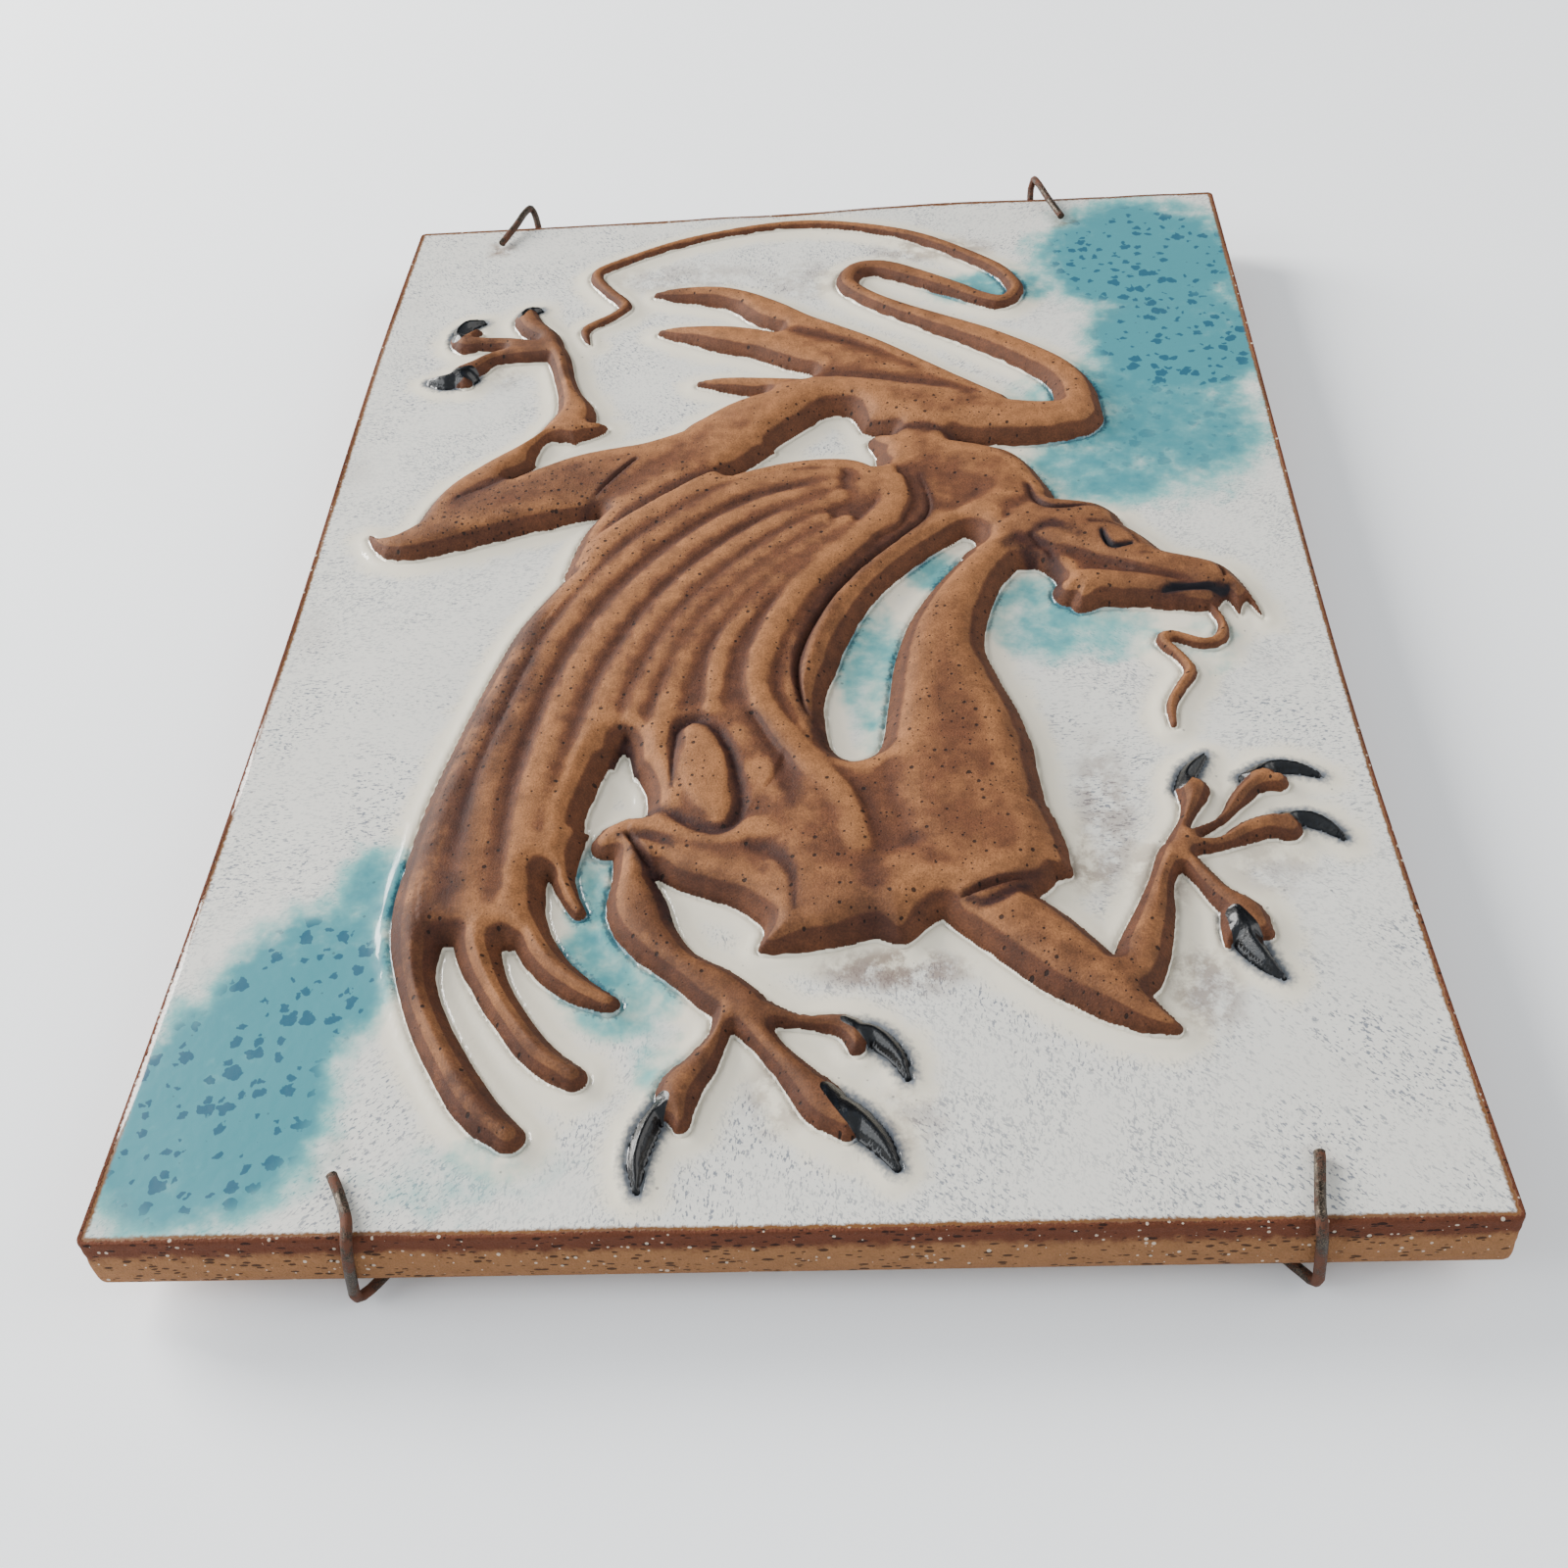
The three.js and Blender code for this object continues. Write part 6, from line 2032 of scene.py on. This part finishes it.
@dataclass(frozen=True)
class WallFinish:
    """Plain matt wall that shows only from its front."""

    colour: Colour = (250, 251, 252)

    def material(self) -> bpy.types.Material:
        """Build the wall's material.

        Returns:
            The material.
        """
        material, bench, shader = new_material("studio_wall")
        shader.inputs["Base Color"].default_value = linear(self.colour)
        shader.inputs["Roughness"].default_value = 0.9
        clear = bench.add("ShaderNodeBsdfTransparent")
        side = bench.add("ShaderNodeNewGeometry")
        mix = bench.add("ShaderNodeMixShader")
        bench.join(side.outputs["Backfacing"], mix.inputs[0])
        bench.join(shader.outputs[0], mix.inputs[1])
        bench.join(clear.outputs[0], mix.inputs[2])
        out = next(node for node in material.node_tree.nodes if node.type == "OUTPUT_MATERIAL")
        bench.join(mix.outputs[0], out.inputs["Surface"])
        return material


# ---------------------------------------------------------------- the studio
@dataclass(frozen=True)
class Lamp:
    """Soft lamp that faces the plaque's middle.

    Attributes:
        name: of the lamp.
        place: where it hangs, in metres.
        size: its width and height, in metres.
        power: in watts.
        colour: its linear colour.
        aim: the place that it faces, in metres.
    """

    name: str
    place: Place
    size: tuple[float, float]
    power: float
    colour: Place
    aim: Place = (0.0, -0.02, -0.15)

    def hang(self) -> None:
        """Hang the lamp and turn it to what it faces."""
        data = bpy.data.lights.new(self.name, "AREA")
        data.shape = "RECTANGLE"
        data.size, data.size_y = self.size
        data.energy = self.power
        data.color = self.colour
        lamp = put(self.name, data)
        lamp.location = self.place
        lamp.rotation_mode = "QUATERNION"
        lamp.rotation_quaternion = (Vector(self.aim) - Vector(self.place)).to_track_quat("-Z", "Y")


LAMPS = (
    Lamp("window_above", (-1.55, -0.85, 0.75), (1.2, 0.9), 96.0, (1.0, 0.985, 0.96)),
    Lamp("window_left", (-1.2, -0.7, -0.5), (0.7, 0.9), 12.0, (0.95, 0.98, 1.0)),
    Lamp("bounce_right", (1.3, -0.9, -0.2), (1.2, 1.2), 14.0, (1.0, 0.97, 0.93)),
    Lamp("behind", (0.3, 1.3, 0.6), (1.2, 1.2), 14.0, (1.0, 1.0, 1.0)),
)


@dataclass
class Studio:
    """Camera, pale wall and soft lights.

    Attributes:
        wall_gap: how far behind the wires' plane the wall stands, in metres.
        wall_reach: half the wall's width and height, in metres.
        lens: focal length in millimetres on a 36 mm sensor.
        shift: of the frame, across and up.
        stand: the camera's place, in metres.
        right: direction of the frame's right side.
        upward: direction of its top.
        forward: direction that the camera looks in.
        sky: colour of the room's own light.
        sky_strengths: of that light on the bright side and on the dim side.
        dim_side: direction of the room's dim side, up in front of the wall.
    """

    wall_gap: float = 0.003
    wall_reach: float = 2.0
    lens: float = 40.5
    shift: tuple[float, float] = (-0.0083, -0.0058)
    stand: Place = (0.02545, -0.30878, -0.51496)
    right: Place = (0.99756, 0.06712, 0.01937)
    upward: Place = (0.03366, -0.70483, 0.70858)
    forward: Place = (-0.06121, 0.70620, 0.70537)
    sky: Place = (0.86, 0.93, 1.0)
    sky_strengths: tuple[float, float] = (1.05, 0.18)
    dim_side: Place = (-0.05, -0.62, 0.78)

    def camera(self) -> bpy.types.Object:
        """Set the camera low in front of the plaque, looking up at it.

        Returns:
            The camera.
        """
        data = bpy.data.cameras.new("camera")
        data.sensor_width = 36.0
        data.lens = self.lens
        data.shift_x, data.shift_y = self.shift
        data.clip_start = 0.01
        camera = put("camera", data)
        turn = Matrix((Vector(self.right), Vector(self.upward), -Vector(self.forward))).transposed()
        camera.matrix_world = Matrix.Translation(self.stand) @ turn.to_4x4()
        bpy.context.scene.camera = camera
        return camera

    def wall(self) -> bpy.types.Object:
        """Stand a pale wall behind the plaque.

        Returns:
            The wall.
        """
        reach = self.wall_reach
        y = self.wall_gap
        corners = [(-reach, y, -reach), (reach, y, -reach), (reach, y, reach), (-reach, y, reach)]
        mesh = bpy.data.meshes.new("wall")
        mesh.from_pydata(corners, [], [(0, 1, 2, 3)])
        mesh.materials.append(WallFinish().material())
        wall = put("wall", mesh)
        return wall

    def lights(self) -> None:
        """Light the plaque softly from above, with weaker lamps at its sides and behind."""
        world = bpy.data.worlds.new("studio")
        world.use_nodes = True
        sky = world.node_tree.nodes["Background"]
        sky.inputs["Color"].default_value = (*self.sky, 1.0)
        bench = Bench(world.node_tree)
        toward = bench.add("ShaderNodeVectorMath", operation="DOT_PRODUCT")
        bench.join(bench.add("ShaderNodeTexCoord").outputs["Generated"], toward.inputs[0])
        toward.inputs[1].default_value = self.dim_side
        share = bench.step(toward.outputs["Value"], 0.4, 0.92)
        bench.join(bench.between(share, *self.sky_strengths), sky.inputs["Strength"])
        bpy.context.scene.world = world
        for lamp in LAMPS:
            lamp.hang()


# ---------------------------------------------------------------- the plaque
def main() -> None:
    """Build the tile, its hanger and the studio in order."""
    logging.basicConfig(level=logging.INFO, format="%(name)s: %(message)s")
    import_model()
    studio = Studio()
    studio.camera()
    studio.wall()
    studio.lights()
    tile_maker = Tile(DragonRelief(FaceGrid()))
    tile = tile_maker.build()
    tile_maker.dress(tile, StonewareFinish())
    LOG.info("%s: %d triangles", tile.name, triangles(tile))
    wire_finish = SteelFinish("darkened_wire", rust_share=0.8)
    spring_finish = SteelFinish("dulled_spring", steel=(92, 88, 82), rust_share=0.3)
    wires = [
        HangerWire(
            "upper_hanger_wire", "upper_wire", HOOKS["top_left"], HOOKS["top_right"],
            bend_height=UPPER_BENDS, middle=NAIL_BEND, up=1,
        ),
        HangerWire(
            "lower_hanger_wire", "lower_wire", HOOKS["bottom_left"], HOOKS["bottom_right"],
            bend_height=LOWER_BENDS, middle=LOWER_BEND, up=-1,
        ),
    ]
    springs = [
        TensionSpring("left_coil_spring", "spring_left", -SPRING_X),
        TensionSpring("right_coil_spring", "spring_right", SPRING_X),
    ]
    for parts, finish in ((wires, wire_finish), (springs, spring_finish)):
        for part in parts:
            piece = part.build(finish)
            LOG.info("%s: %d triangles", piece.name, triangles(piece))


if __name__ == "__main__":
    main()
